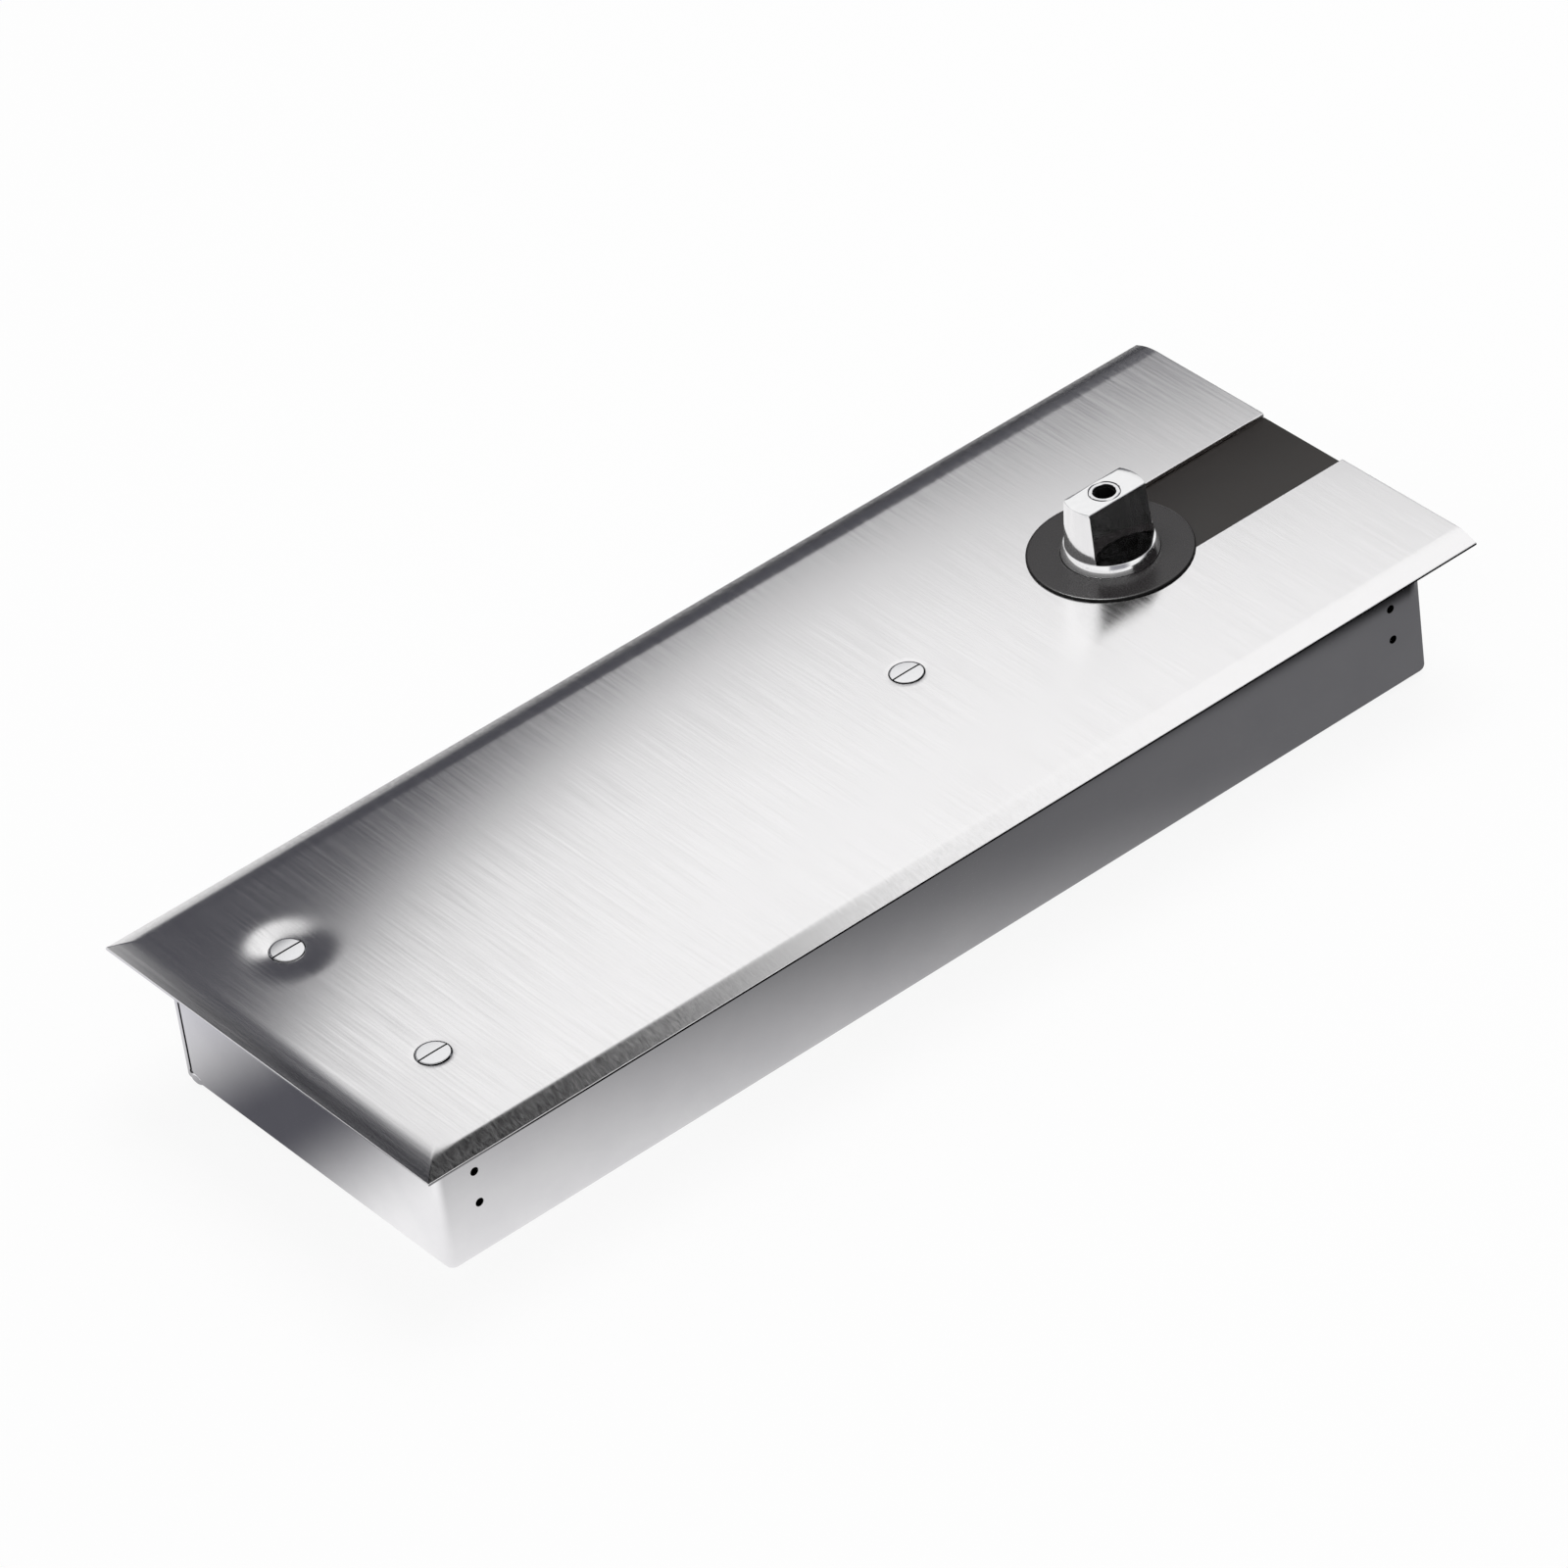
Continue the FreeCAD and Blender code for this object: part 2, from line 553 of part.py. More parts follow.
def make_clamp_screw(x, side):
    y = side * EAR_Y
    foot = EAR_TOP + WASHER_T
    head = rod_z(M6_HEAD_R, foot, foot + M6_HEAD_H, x - CLAMP_OFFSET, y)
    shank = rod_z(M6_R, CASE_T + BRACKET_T, foot, x - CLAMP_OFFSET, y)
    socket = hexagon_z(M6_SOCKET_AF, foot + M6_HEAD_H / 2, foot + M6_HEAD_H + 1, x - CLAMP_OFFSET, y)
    return cut_all(fuse_all([head, shank]), [socket])


def make_washer(x, side):
    return tube_z(WASHER_R, M6_R + SLIP_GAP, EAR_TOP, EAR_TOP + WASHER_T, x - CLAMP_OFFSET, side * EAR_Y)


def make_levelling_screw(x, side):
    y = side * EAR_Y
    top = EAR_TOP + 1.5
    rod = rod_z(M6_R, PAD_TOP, top, x + CLAMP_OFFSET, y)
    socket = hexagon_z(M6_R, top - M6_R, top + 1, x + CLAMP_OFFSET, y)
    return cut_all(rod, [socket])


def make_end_plug():
    head = rod_x(PLUG_R, HOUSING_END_X, PLUG_IN_X, 0, BORE_Z)
    spigot = rod_x(BORE_R - SLIP_GAP, PLUG_IN_X, SPRING_SEAT_X, 0, BORE_Z)
    plug = fuse_all([head, spigot])
    socket = hexagon_x(PLUG_SOCKET_AF, HOUSING_END_X - 1, HOUSING_END_X + PLUG_SOCKET_DEPTH, 0, BORE_Z)
    return cut_all(plug, [socket, plug_groove()])


def plug_groove():
    mid = (PLUG_IN_X + SPRING_SEAT_X) / 2
    half = SEAL_GROOVE_W / 2
    return tube_x(BORE_R, BORE_R - SEAL_GROOVE_DEPTH, mid - half, mid + half, 0, BORE_Z)


def make_end_plug_seal():
    mid = (PLUG_IN_X + SPRING_SEAT_X) / 2
    half = SEAL_GROOVE_W / 2
    return tube_x(BORE_R, BORE_R - SEAL_GROOVE_DEPTH, mid - half, mid + half, 0, BORE_Z)


def make_valve(x):
    low = HOUSING_TOP - VALVE_L
    body = rod_z(VALVE_R, low, HOUSING_TOP, x, OIL_WAY_Y)
    needle_foot = BORE_Z + OIL_WAY_R
    needle = rod_z(VALVE_NEEDLE_R, needle_foot, low, x, OIL_WAY_Y)
    tip = cone_z(VALVE_NEEDLE_R / 3, VALVE_NEEDLE_R, needle_foot - OIL_WAY_R, needle_foot, x, OIL_WAY_Y)
    valve = fuse_all([body, needle, tip])
    socket = hexagon_z(VALVE_SOCKET_AF, HOUSING_TOP - VALVE_SOCKET_DEPTH, HOUSING_TOP + 1, x, OIL_WAY_Y)
    return cut_all(valve, [socket, make_valve_seal(x, VALVE_R)])


def make_valve_seal(x, outer=VALVE_R):
    mid = HOUSING_TOP - VALVE_L * 0.7
    half = VALVE_SEAL_W / 2
    return tube_z(outer, VALVE_R - VALVE_SEAL_DEPTH, mid - half, mid + half, x, OIL_WAY_Y)


# ---------------------------------------------------------------- spindle
def socket_square(half, z0, z1):
    return box(SPINDLE_X - half, SPINDLE_X + half, -half, half, z0, z1)


def make_shaft():
    foot = HOUSING_Z0 + CASE_T + THRUST_T + RUNNING_FIT
    pieces = [
        rod_z(SHAFT_R, foot, SHAFT_TOP, SPINDLE_X),
        rod_z(SHAFT_COLLAR_R, CAM_Z1, BEARING_Z0, SPINDLE_X),
    ]
    shaft = fuse_all(pieces)
    floor = SHAFT_TOP - INSERT_SQUARE_L - SLIP_GAP
    tools = [
        socket_square(INSERT_SQUARE / 2 + RUNNING_FIT, floor, SHAFT_TOP + 1),
        rod_z(INSERT_SCREW_R, floor - INSERT_SCREW_THREAD_L - SLIP_GAP, floor + 1, SPINDLE_X),
        key_block(),
    ]
    return cut_all(shaft, tools)


def key_block():
    half = KEY_W / 2
    return box(SPINDLE_X + SHAFT_R - KEY_H / 2, SPINDLE_X + SHAFT_R + KEY_H / 2, -half, half, CAM_Z0, CAM_Z1)


def cam_point(theta, offset, side):
    """Point of the cam's edge under the roller, for a spindle turned by theta."""
    pitch = CAM_PITCH_R0 + CAM_RISE * theta
    length = math.hypot(pitch, CAM_RISE)
    radial = pitch - offset * pitch / length
    along = offset * CAM_RISE / length
    angle = math.pi - theta * side
    x = radial * math.cos(angle) + along * side * math.sin(angle)
    y = radial * math.sin(angle) - along * side * math.cos(angle)
    return V(SPINDLE_X + x, y, CAM_Z0)


def make_cam():
    offset = ROLLER_R + RUNNING_FIT
    span = math.radians(CAM_SPAN_DEG)
    steps = 27
    flanks = []
    for side in (1, -1):
        points = [cam_point(span * i / steps, offset, side) for i in range(steps + 1)]
        flanks.append(points)
    upper = Part.BSplineCurve()
    upper.interpolate(flanks[0])
    lower = Part.BSplineCurve()
    lower.interpolate(flanks[1])
    valley_mid = V(SPINDLE_X - CAM_PITCH_R0 + offset, 0, CAM_Z0)
    valley = Part.Arc(flanks[0][0], valley_mid, flanks[1][0])
    back_r = math.hypot(flanks[0][-1].x - SPINDLE_X, flanks[0][-1].y)
    back = Part.Arc(flanks[0][-1], V(SPINDLE_X + back_r, 0, CAM_Z0), flanks[1][-1])
    wire = Part.Wire(Part.__sortEdges__([upper.toShape(), back.toShape(), lower.toShape(), valley.toShape()]))
    cam = Part.Face(wire).extrude(V(0, 0, CAM_T))
    return cut_all(cam, [rod_z(SHAFT_R, CAM_Z0 - 1, CAM_Z1 + 1, SPINDLE_X), key_block()])


def make_insert():
    collar = rod_z(COLLAR_R, SHAFT_TOP, COLLAR_TOP, SPINDLE_X)
    cone = cone_z(CONE_FOOT_R, CONE_TOP_R, COLLAR_TOP, CONE_TOP, SPINDLE_X)
    keep = frustum(COLLAR_R, FLAT_FOOT_HALF, COLLAR_TOP, COLLAR_R, FLAT_TOP_HALF, CONE_TOP)
    keep.translate(V(SPINDLE_X, 0, 0))
    cone = cone.common(keep)
    square = socket_square(INSERT_SQUARE / 2, SHAFT_TOP - INSERT_SQUARE_L, SHAFT_TOP)
    insert = fuse_all([collar, cone, square])
    seat = CONE_TOP - INSERT_SCREW_HEAD_L
    tools = [
        rod_z(INSERT_SCREW_HEAD_R + SLIP_GAP, seat, CONE_TOP + 1, SPINDLE_X),
        rod_z(INSERT_SCREW_R + SLIP_GAP, SHAFT_TOP - INSERT_SQUARE_L - 1, seat, SPINDLE_X),
    ]
    return cut_all(insert, tools)


def make_insert_screw():
    seat = CONE_TOP - INSERT_SCREW_HEAD_L
    foot = SHAFT_TOP - INSERT_SQUARE_L - SLIP_GAP - INSERT_SCREW_THREAD_L
    head = rod_z(INSERT_SCREW_HEAD_R, seat, CONE_TOP, SPINDLE_X)
    shank = rod_z(INSERT_SCREW_R, foot, seat, SPINDLE_X)
    socket = hexagon_z(INSERT_SOCKET_AF, CONE_TOP - INSERT_SOCKET_DEPTH, CONE_TOP + 1, SPINDLE_X)
    return cut_all(fuse_all([head, shank]), [socket])


# ---------------------------------------------------------------- bearings
BALL_Z = BEARING_Z0 + BEARING_H / 2
RACE_IN_R = BALL_PITCH_R - RACE_GAP
RACE_OUT_R = BALL_PITCH_R + RACE_GAP


def ball_track():
    return Part.makeTorus(BALL_PITCH_R, BALL_R + RUNNING_FIT, V(SPINDLE_X, 0, BALL_Z), V(0, 0, 1))


def make_inner_race():
    return cut_all(tube_z(RACE_IN_R, SHAFT_R, BEARING_Z0, BEARING_Z1, SPINDLE_X), [ball_track()])


def make_outer_race():
    return cut_all(tube_z(BEARING_R, RACE_OUT_R, BEARING_Z0, BEARING_Z1, SPINDLE_X), [ball_track()])


def ball_centres():
    places = []
    for i in range(BALL_COUNT):
        turn = 2 * math.pi * i / BALL_COUNT
        places.append(V(SPINDLE_X + BALL_PITCH_R * math.cos(turn), BALL_PITCH_R * math.sin(turn), BALL_Z))
    return places


def make_cage():
    half = CAGE_T / 2
    ring = tube_z(BALL_PITCH_R + half, BALL_PITCH_R - half, BALL_Z - CAGE_H / 2, BALL_Z + CAGE_H / 2, SPINDLE_X)
    axis = V(SPINDLE_X, 0, BALL_Z)
    pockets = []
    for centre in ball_centres():
        pockets.append(Part.makeCylinder(BALL_R + SLIP_GAP, BEARING_R, axis, centre.sub(axis)))
    return cut_all(ring, pockets)


# ---------------------------------------------------------------- piston group
def piston_groove(x):
    half = SEAL_GROOVE_W / 2
    return tube_x(PISTON_R, BORE_R - SEAL_GROOVE_DEPTH, x - half, x + half, 0, BORE_Z)


PISTON_GROOVES = [PISTON_FRONT - SEAL_GROOVE_INSET, PISTON_REAR + SEAL_GROOVE_INSET]
CHECK_SEAT_X = PISTON_REAR - SPRING_SPIGOT_L + CHECK_SEAT_L
CHECK_BALL_X = CHECK_SEAT_X + math.sqrt(CHECK_BALL_R ** 2 - CHECK_SEAT_HOLE_R ** 2) + RUNNING_FIT


def make_piston():
    skirt = rod_x(PISTON_R, PISTON_REAR, PISTON_FRONT, 0, BORE_Z)
    spigot = rod_x(SPRING_SPIGOT_R, PISTON_REAR - SPRING_SPIGOT_L, PISTON_REAR, 0, BORE_Z)
    pieces = [skirt, spigot]
    nose_x = ROLLER_X + FORK_NOSE
    for z0 in (BORE_Z - CHEEK_OUT, BORE_Z + CHEEK_IN):
        cheek = box(PISTON_FRONT - 1, nose_x, -FORK_HALF_W, FORK_HALF_W, z0, z0 + FORK_CHEEK_T)
        pieces.append(cheek)
    piston = fuse_all(pieces)
    chamber_end = CHECK_BALL_X + CHECK_BALL_R + CHECK_LIFT + RUNNING_FIT
    tools = [
        rod_z(ROLLER_PIN_R, BORE_Z - CHEEK_OUT - 1, BORE_Z + CHEEK_OUT + 1, ROLLER_X),
        rod_x(PASSAGE_R, PISTON_REAR, PISTON_FRONT + 1, 0, BORE_Z),
        rod_x(CHECK_CHAMBER_R, CHECK_SEAT_X, chamber_end, 0, BORE_Z),
        rod_x(CHECK_SEAT_R, PISTON_REAR - SPRING_SPIGOT_L - 1, CHECK_SEAT_X, 0, BORE_Z),
    ]
    for x in PISTON_GROOVES:
        tools.append(piston_groove(x))
    return cut_all(piston, tools)


def make_check_seat():
    return tube_x(CHECK_SEAT_R, CHECK_SEAT_HOLE_R, CHECK_SEAT_X - CHECK_SEAT_L, CHECK_SEAT_X, 0, BORE_Z)


def make_roller():
    half = ROLLER_T / 2
    return tube_z(ROLLER_R, ROLLER_PIN_R + RUNNING_FIT, BORE_Z - half, BORE_Z + half, ROLLER_X)


def make_spring():
    length = PISTON_REAR - SPRING_SEAT_X
    pitch = length / SPRING_COILS
    helix = Part.makeHelix(pitch, length + 2 * pitch, SPRING_MEAN_R)
    start = V(SPRING_MEAN_R, 0, 0)
    rise = V(0, SPRING_MEAN_R, pitch / (2 * math.pi))
    section = Part.Wire(Part.makeCircle(SPRING_WIRE_R, start, rise))
    coil = Part.Wire(helix).makePipeShell([section], True, True)
    coil.rotate(V(0, 0, 0), V(0, 1, 0), 90)
    coil.translate(V(SPRING_SEAT_X - pitch, 0, BORE_Z))
    keep = rod_x(BORE_R, SPRING_SEAT_X, PISTON_REAR, 0, BORE_Z)
    return coil.common(keep)


# ---------------------------------------------------------------- write every piece
save(make_case(), "case_shell")
save(make_support_bracket(EAR_X_PLUG_END), "support_bracket_plug_end")
save(make_support_bracket(SPINDLE_X), "support_bracket_spindle_end")
save(make_cover_bracket(), "cover_bracket")
save(make_cover(), "cover_plate")
save_set([make_cover_screw(x, y) for x, y in COVER_SCREWS], "cover_screws")
save(make_rosette(), "rosette")
save(make_strip(), "slot_strip")
save(make_housing(), "housing")
save(make_cap(), "top_cap")
save_set([make_cap_screw(x, y) for x, y in CAP_SCREWS], "cap_screws")
save_set([make_clamp_screw(x, s) for x, s in EARS], "clamp_screws")
save_set([make_washer(x, s) for x, s in EARS], "clamp_washers")
save_set([make_levelling_screw(x, s) for x, s in EARS], "levelling_screws")
save(make_end_plug(), "end_plug")
save(make_end_plug_seal(), "end_plug_seal")
save(rod_x(OIL_WAY_PLUG_R, HOUSING_END_X, HOUSING_END_X + OIL_WAY_PLUG_L, OIL_WAY_Y, BORE_Z), "oil_way_plug")
save(make_valve(CLOSING_VALVE_X), "closing_valve")
save(make_valve_seal(CLOSING_VALVE_X), "closing_valve_seal")
save(make_valve(LATCHING_VALVE_X), "latching_valve")
save(make_valve_seal(LATCHING_VALVE_X), "latching_valve_seal")
save(make_shaft(), "spindle_shaft")
save(key_block(), "cam_key")
save(make_cam(), "heart_cam")
save(make_insert(), "spindle_insert")
save(make_insert_screw(), "insert_screw")
save(make_inner_race(), "bearing_inner_race")
save(make_outer_race(), "bearing_outer_race")
save_set([Part.makeSphere(BALL_R, c) for c in ball_centres()], "bearing_balls")
save(make_cage(), "bearing_cage")
save(tube_z(SEAL_R, SHAFT_R + RUNNING_FIT, BEARING_Z1, BEARING_Z1 + SEAL_H, SPINDLE_X), "shaft_seal")
save(tube_z(SHAFT_R + BUSH_T, SHAFT_R + RUNNING_FIT, HOUSING_Z0 + CASE_T + THRUST_T, CHAMBER_FLOOR, SPINDLE_X),
     "lower_bush")
save(rod_z(SHAFT_R + BUSH_T, HOUSING_Z0 + CASE_T, HOUSING_Z0 + CASE_T + THRUST_T, SPINDLE_X), "thrust_disc")
save(make_piston(), "piston")
save_set([piston_groove(x) for x in PISTON_GROOVES], "piston_seals")
save(make_check_seat(), "check_valve_seat")
save(Part.makeSphere(CHECK_BALL_R, V(CHECK_BALL_X, 0, BORE_Z)), "check_ball")
save(make_roller(), "cam_roller")
save(rod_z(ROLLER_PIN_R, BORE_Z - CHEEK_OUT, BORE_Z + CHEEK_OUT, ROLLER_X), "roller_pin")
save(make_spring(), "main_spring")
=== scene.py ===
"""Looks of a low floor spring in its cement case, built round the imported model.

The visible sheet metal, the black trim, the screws, the spindle and the main spring are
surfaces worked out with numpy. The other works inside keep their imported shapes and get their
finishes here. Lengths in the size fields are millimetres; every mesh is in metres.
"""

import logging
import math
from collections.abc import Callable, Iterable
from dataclasses import dataclass, field
from enum import Enum

import bmesh
import bpy
import numpy as np
from mathutils import Matrix, Vector


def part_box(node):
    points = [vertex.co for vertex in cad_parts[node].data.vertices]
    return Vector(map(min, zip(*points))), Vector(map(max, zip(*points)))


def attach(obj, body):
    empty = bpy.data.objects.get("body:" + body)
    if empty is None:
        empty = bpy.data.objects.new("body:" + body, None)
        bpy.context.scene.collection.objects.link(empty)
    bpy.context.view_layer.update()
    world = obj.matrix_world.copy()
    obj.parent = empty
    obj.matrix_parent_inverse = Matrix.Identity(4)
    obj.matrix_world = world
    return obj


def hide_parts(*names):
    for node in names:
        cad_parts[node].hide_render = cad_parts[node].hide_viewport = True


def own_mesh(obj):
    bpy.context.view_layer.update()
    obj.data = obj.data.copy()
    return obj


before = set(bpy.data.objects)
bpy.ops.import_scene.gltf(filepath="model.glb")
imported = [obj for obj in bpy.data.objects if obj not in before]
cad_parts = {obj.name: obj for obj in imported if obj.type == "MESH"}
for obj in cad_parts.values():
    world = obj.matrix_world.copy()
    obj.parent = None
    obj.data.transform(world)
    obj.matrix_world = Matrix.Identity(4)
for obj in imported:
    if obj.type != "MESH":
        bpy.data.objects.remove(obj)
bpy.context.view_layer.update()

MM = 0.001
TINY = 1e-9
SAME_LINE_MM = 1e-6
JUST_INSIDE = 0.999
HAIR_MM = 0.01
DOUBLES_M = 2e-6
SLIVERS_M = 1e-6
SOFT_CREASE = 32.0
UV_NAME = "grain"
LOG = logging.getLogger("floor_spring")


# ---------------------------------------------------------------- colour and nodes
def linear(hex_colour: str) -> tuple[float, float, float, float]:
    """Turns an sRGB hex colour into the linear values that shaders take.

    Args:
        hex_colour: six hex digits, such as "c8c8ca".

    Returns:
        Linear red, green, blue and an alpha of 1.
    """
    channels = []
    for start in (0, 2, 4):
        value = int(hex_colour[start:start + 2], 16) / 255.0
        if value <= 0.04045:
            channels.append(value / 12.92)
        else:
            channels.append(((value + 0.055) / 1.055) ** 2.4)
    return (*channels, 1.0)


def blank_tree(owner: bpy.types.Material | bpy.types.World) -> bpy.types.NodeTree:
    """Switches nodes on for a material or a world and returns its emptied tree."""
    owner.use_nodes = True
    owner.node_tree.nodes.clear()
    return owner.node_tree


def add_node(tree: bpy.types.NodeTree, kind: str, settings: dict | None = None,
             **inputs: object) -> bpy.types.Node:
    """Adds one node, with its settings, its socket values and its links.

    Args:
        tree: the node tree that gets the node.
        kind: the node's type name.
        settings: attributes of the node itself.
        inputs: socket values or source sockets, by socket name with _ for a space,
            or by number as i0, i1 and so on.

    Returns:
        The new node.
    """
    node = tree.nodes.new(kind)
    for name, value in (settings or {}).items():
        setattr(node, name, value)
    for name, value in inputs.items():
        if name[0] == "i" and name[1:].isdigit():
            socket = node.inputs[int(name[1:])]
        else:
            socket = node.inputs[name.replace("_", " ")]
        if isinstance(value, bpy.types.NodeSocket):
            tree.links.new(value, socket)
        else:
            socket.default_value = value
    return node


# ---------------------------------------------------------------- finishes
class Grain(Enum):
    """Which way the marks of a finish run: how fast its fine noise varies along X, Y and Z."""

    ALONG_X = (0.02, 1.0, 1.0)
    ALONG_Y = (1.0, 0.02, 1.0)
    ALONG_Z = (1.0, 1.0, 0.02)
    EVEN = (1.0, 1.0, 1.0)


@dataclass(frozen=True)
class Finish:
    """A surface finish: its colour, its gloss and the marks left by how it was made.

    Two noises make each one. A fine noise of the named pitch, drawn out along the grain, is
    the tool marks or the texture. A broad noise is what handling and age leave behind.
    """

    name: str
    colour: str
    shade: str
    metallic: float = 1.0
    roughness: float = 0.3
    roughness_spread: float = 0.05
    specular: float = 0.5
    anisotropy: float = 0.0
    grain: Grain = Grain.EVEN
    pitch_mm: float = 0.6
    depth_mm: float = 0.004
    broad_mm: float = 30.0
    broad_share: float = 0.3
    coat: float = 0.0
    coat_roughness: float = 0.1
    uses_uv_tangent: bool = False

    def material(self) -> bpy.types.Material:
        """Returns the finish as a material, made once and then shared."""
        known = bpy.data.materials.get(self.name)
        if known is not None:
            return known
        made = bpy.data.materials.new(self.name)
        tree = blank_tree(made)
        place = add_node(tree, "ShaderNodeTexCoord").outputs["Object"]
        fine = self._fine_noise(tree, place)
        broad = add_node(tree, "ShaderNodeTexNoise", Vector=place, Scale=1.0 / (self.broad_mm * MM),
                         Detail=3.0, Roughness=0.55).outputs["Fac"]
        blend = add_node(tree, "ShaderNodeMix", {"data_type": "FLOAT"}, i0=self.broad_share,
                         i2=fine, i3=broad).outputs[0]
        colour = add_node(tree, "ShaderNodeMix", {"data_type": "RGBA"}, i0=blend,
                          i6=linear(self.shade), i7=linear(self.colour)).outputs[2]
        gloss = add_node(tree, "ShaderNodeMapRange", i0=blend, i1=0.25, i2=0.75,
                         i3=self.roughness - self.roughness_spread,
                         i4=self.roughness + self.roughness_spread).outputs[0]
        bump = add_node(tree, "ShaderNodeBump", Strength=1.0, Distance=self.depth_mm * MM,
                        Height=fine).outputs["Normal"]
        shader = add_node(tree, "ShaderNodeBsdfPrincipled", Base_Color=colour, Metallic=self.metallic,
                          Roughness=gloss, Normal=bump, Specular_IOR_Level=self.specular,
                          Anisotropic=self.anisotropy, Coat_Weight=self.coat,
                          Coat_Roughness=self.coat_roughness)
        if self.uses_uv_tangent:
            along_uv = {"direction_type": "UV_MAP", "uv_map": UV_NAME}
            tangent = add_node(tree, "ShaderNodeTangent", along_uv).outputs[0]
            tree.links.new(tangent, shader.inputs["Tangent"])
        add_node(tree, "ShaderNodeOutputMaterial", Surface=shader.outputs[0])
        return made

    def _fine_noise(self, tree: bpy.types.NodeTree, place: bpy.types.NodeSocket) -> bpy.types.NodeSocket:
        """Adds the fine noise, stretched along the grain.

        Args:
            tree: the material's node tree.
            place: the coordinates in metres.

        Returns:
            The noise's value, from 0 to 1.
        """
        mapped = add_node(tree, "ShaderNodeMapping", Vector=place, Scale=self.grain.value).outputs[0]
        return add_node(tree, "ShaderNodeTexNoise", Vector=mapped, Scale=1.0 / (self.pitch_mm * MM),
                        Detail=4.0, Roughness=0.6).outputs["Fac"]


# Stainless sheet ground with a belt across the short way: a satin that draws lights out along X.
# The scratches are about 0.05 mm apart on the real sheet; the pitch here is what still shows.
BRUSHED_STAINLESS = Finish("brushed_stainless", "fbfafa", "f4f3f4", roughness=0.205, roughness_spread=0.06,
                           anisotropy=0.85, grain=Grain.ALONG_Y, pitch_mm=0.7, depth_mm=0.006,
                           broad_mm=40.0, broad_share=0.2, uses_uv_tangent=True)

# Zinc-plated mild steel sheet, cold rolled and folded: smoother and a touch cooler than the
# cover, with faint clouds where the plating took unevenly.
PLATED_SHEET = Finish("zinc_plated_sheet", "f8f7f8", "e6e5e8", roughness=0.12, roughness_spread=0.03,
                      pitch_mm=1.4, depth_mm=0.0012, broad_mm=16.0, broad_share=0.85)

# Turned and polished alloy steel: near mirror, with the faint marks of the wheel.
POLISHED_STEEL = Finish("polished_steel", "f4f4f5", "e2e2e4", roughness=0.14, roughness_spread=0.05,
                        pitch_mm=0.5, depth_mm=0.001, broad_mm=5.0, broad_share=0.6)

# The same steel where the wheel ran up the cone: upright marks that break a light into streaks.
POLISHED_CONE = Finish("polished_cone", "fafafa", "e6e6e7", roughness=0.10, roughness_spread=0.05,
                       grain=Grain.ALONG_Z, pitch_mm=1.6, depth_mm=0.01, broad_mm=5.0, broad_share=0.3)

# Painted shade for slots, sockets and gaps, standing in for the shade inside them: nearly black and quite
# matt.
RECESS_SHADE = Finish("oily_recess", "141415", "0b0b0c", metallic=0.0, roughness=0.7, specular=0.2,
                     pitch_mm=0.4, depth_mm=0.01, broad_mm=3.0)

# Black polyamide, moulded with a fine spark-eroded texture: soft sheen with no sharp glints.
MOULDED_BLACK = Finish("moulded_polyamide", "181617", "121111", metallic=0.0, roughness=0.27,
                       roughness_spread=0.04, pitch_mm=0.25, depth_mm=0.002, broad_mm=20.0)

# Painted shade on the rosette's flank and outer edge: flat black with no sheen, which draws the dark line
# round its rim.
EDGE_SHADE_BLACK = Finish("matt_polyamide", "0d0c0c", "080808", metallic=0.0, roughness=0.75, specular=0.12,
                    pitch_mm=0.25, depth_mm=0.002, broad_mm=10.0)

# The same polyamide, extruded for the strip: duller and a touch browner.
EXTRUDED_BLACK = Finish("extruded_polyamide", "221d1a", "1a1715", metallic=0.0, roughness=0.36,
                        roughness_spread=0.05, grain=Grain.ALONG_X, pitch_mm=0.3, depth_mm=0.002,
                        broad_mm=12.0, broad_share=0.5)

# Grey iron casting under a thin coat of paint: sand-cast pits show through the film.
PAINTED_IRON = Finish("painted_cast_iron", "4a4e52", "3a3d41", metallic=0.0, roughness=0.5,
                      roughness_spread=0.1, pitch_mm=0.9, depth_mm=0.06, broad_mm=18.0, coat=0.2,
                      coat_roughness=0.3)

# Bright zinc plating on steel fasteners and brackets: bluish, with soft clouding.
ZINC_PLATE = Finish("zinc_plate", "ccd0d6", "b4b8c0", roughness=0.3, roughness_spread=0.08,
                    pitch_mm=0.5, depth_mm=0.002, broad_mm=8.0, broad_share=0.6)

# Hardened steel with ground faces: fine parallel marks and a dark, even lustre.
GROUND_STEEL = Finish("ground_steel", "a8a8ac", "8e8e94", roughness=0.22, roughness_spread=0.06,
                      grain=Grain.ALONG_X, pitch_mm=0.3, depth_mm=0.001, broad_mm=10.0)

# Polished bearing steel of the balls: a clean mirror with a trace of oil.
BEARING_STEEL = Finish("bearing_steel", "d6d6d8", "c8c8cc", roughness=0.08, roughness_spread=0.03,
                       pitch_mm=0.2, depth_mm=0.0003, broad_mm=3.0, coat=0.4, coat_roughness=0.05)

# Oil-tempered spring wire: a blue-black scale with drawing marks along the wire.
SPRING_WIRE = Finish("oil_tempered_wire", "4b4b52", "34343a", roughness=0.34, roughness_spread=0.08,
                     pitch_mm=0.4, depth_mm=0.002, broad_mm=9.0, coat=0.3, coat_roughness=0.12)

# Sintered bronze of the bush and the thrust disc: warm, open-pored and oily.
SINTERED_BRONZE = Finish("sintered_bronze", "b98a4e", "8f6635", roughness=0.38, roughness_spread=0.1,
                         pitch_mm=0.18, depth_mm=0.01, broad_mm=5.0, coat=0.2, coat_roughness=0.2)

# Nitrile rubber of the seals: matt black with a faint bloom.
NITRILE_RUBBER = Finish("nitrile_rubber", "1c1c1e", "131314", metallic=0.0, roughness=0.7,
                        roughness_spread=0.08, specular=0.3, pitch_mm=0.3, depth_mm=0.004,
                        broad_mm=6.0)


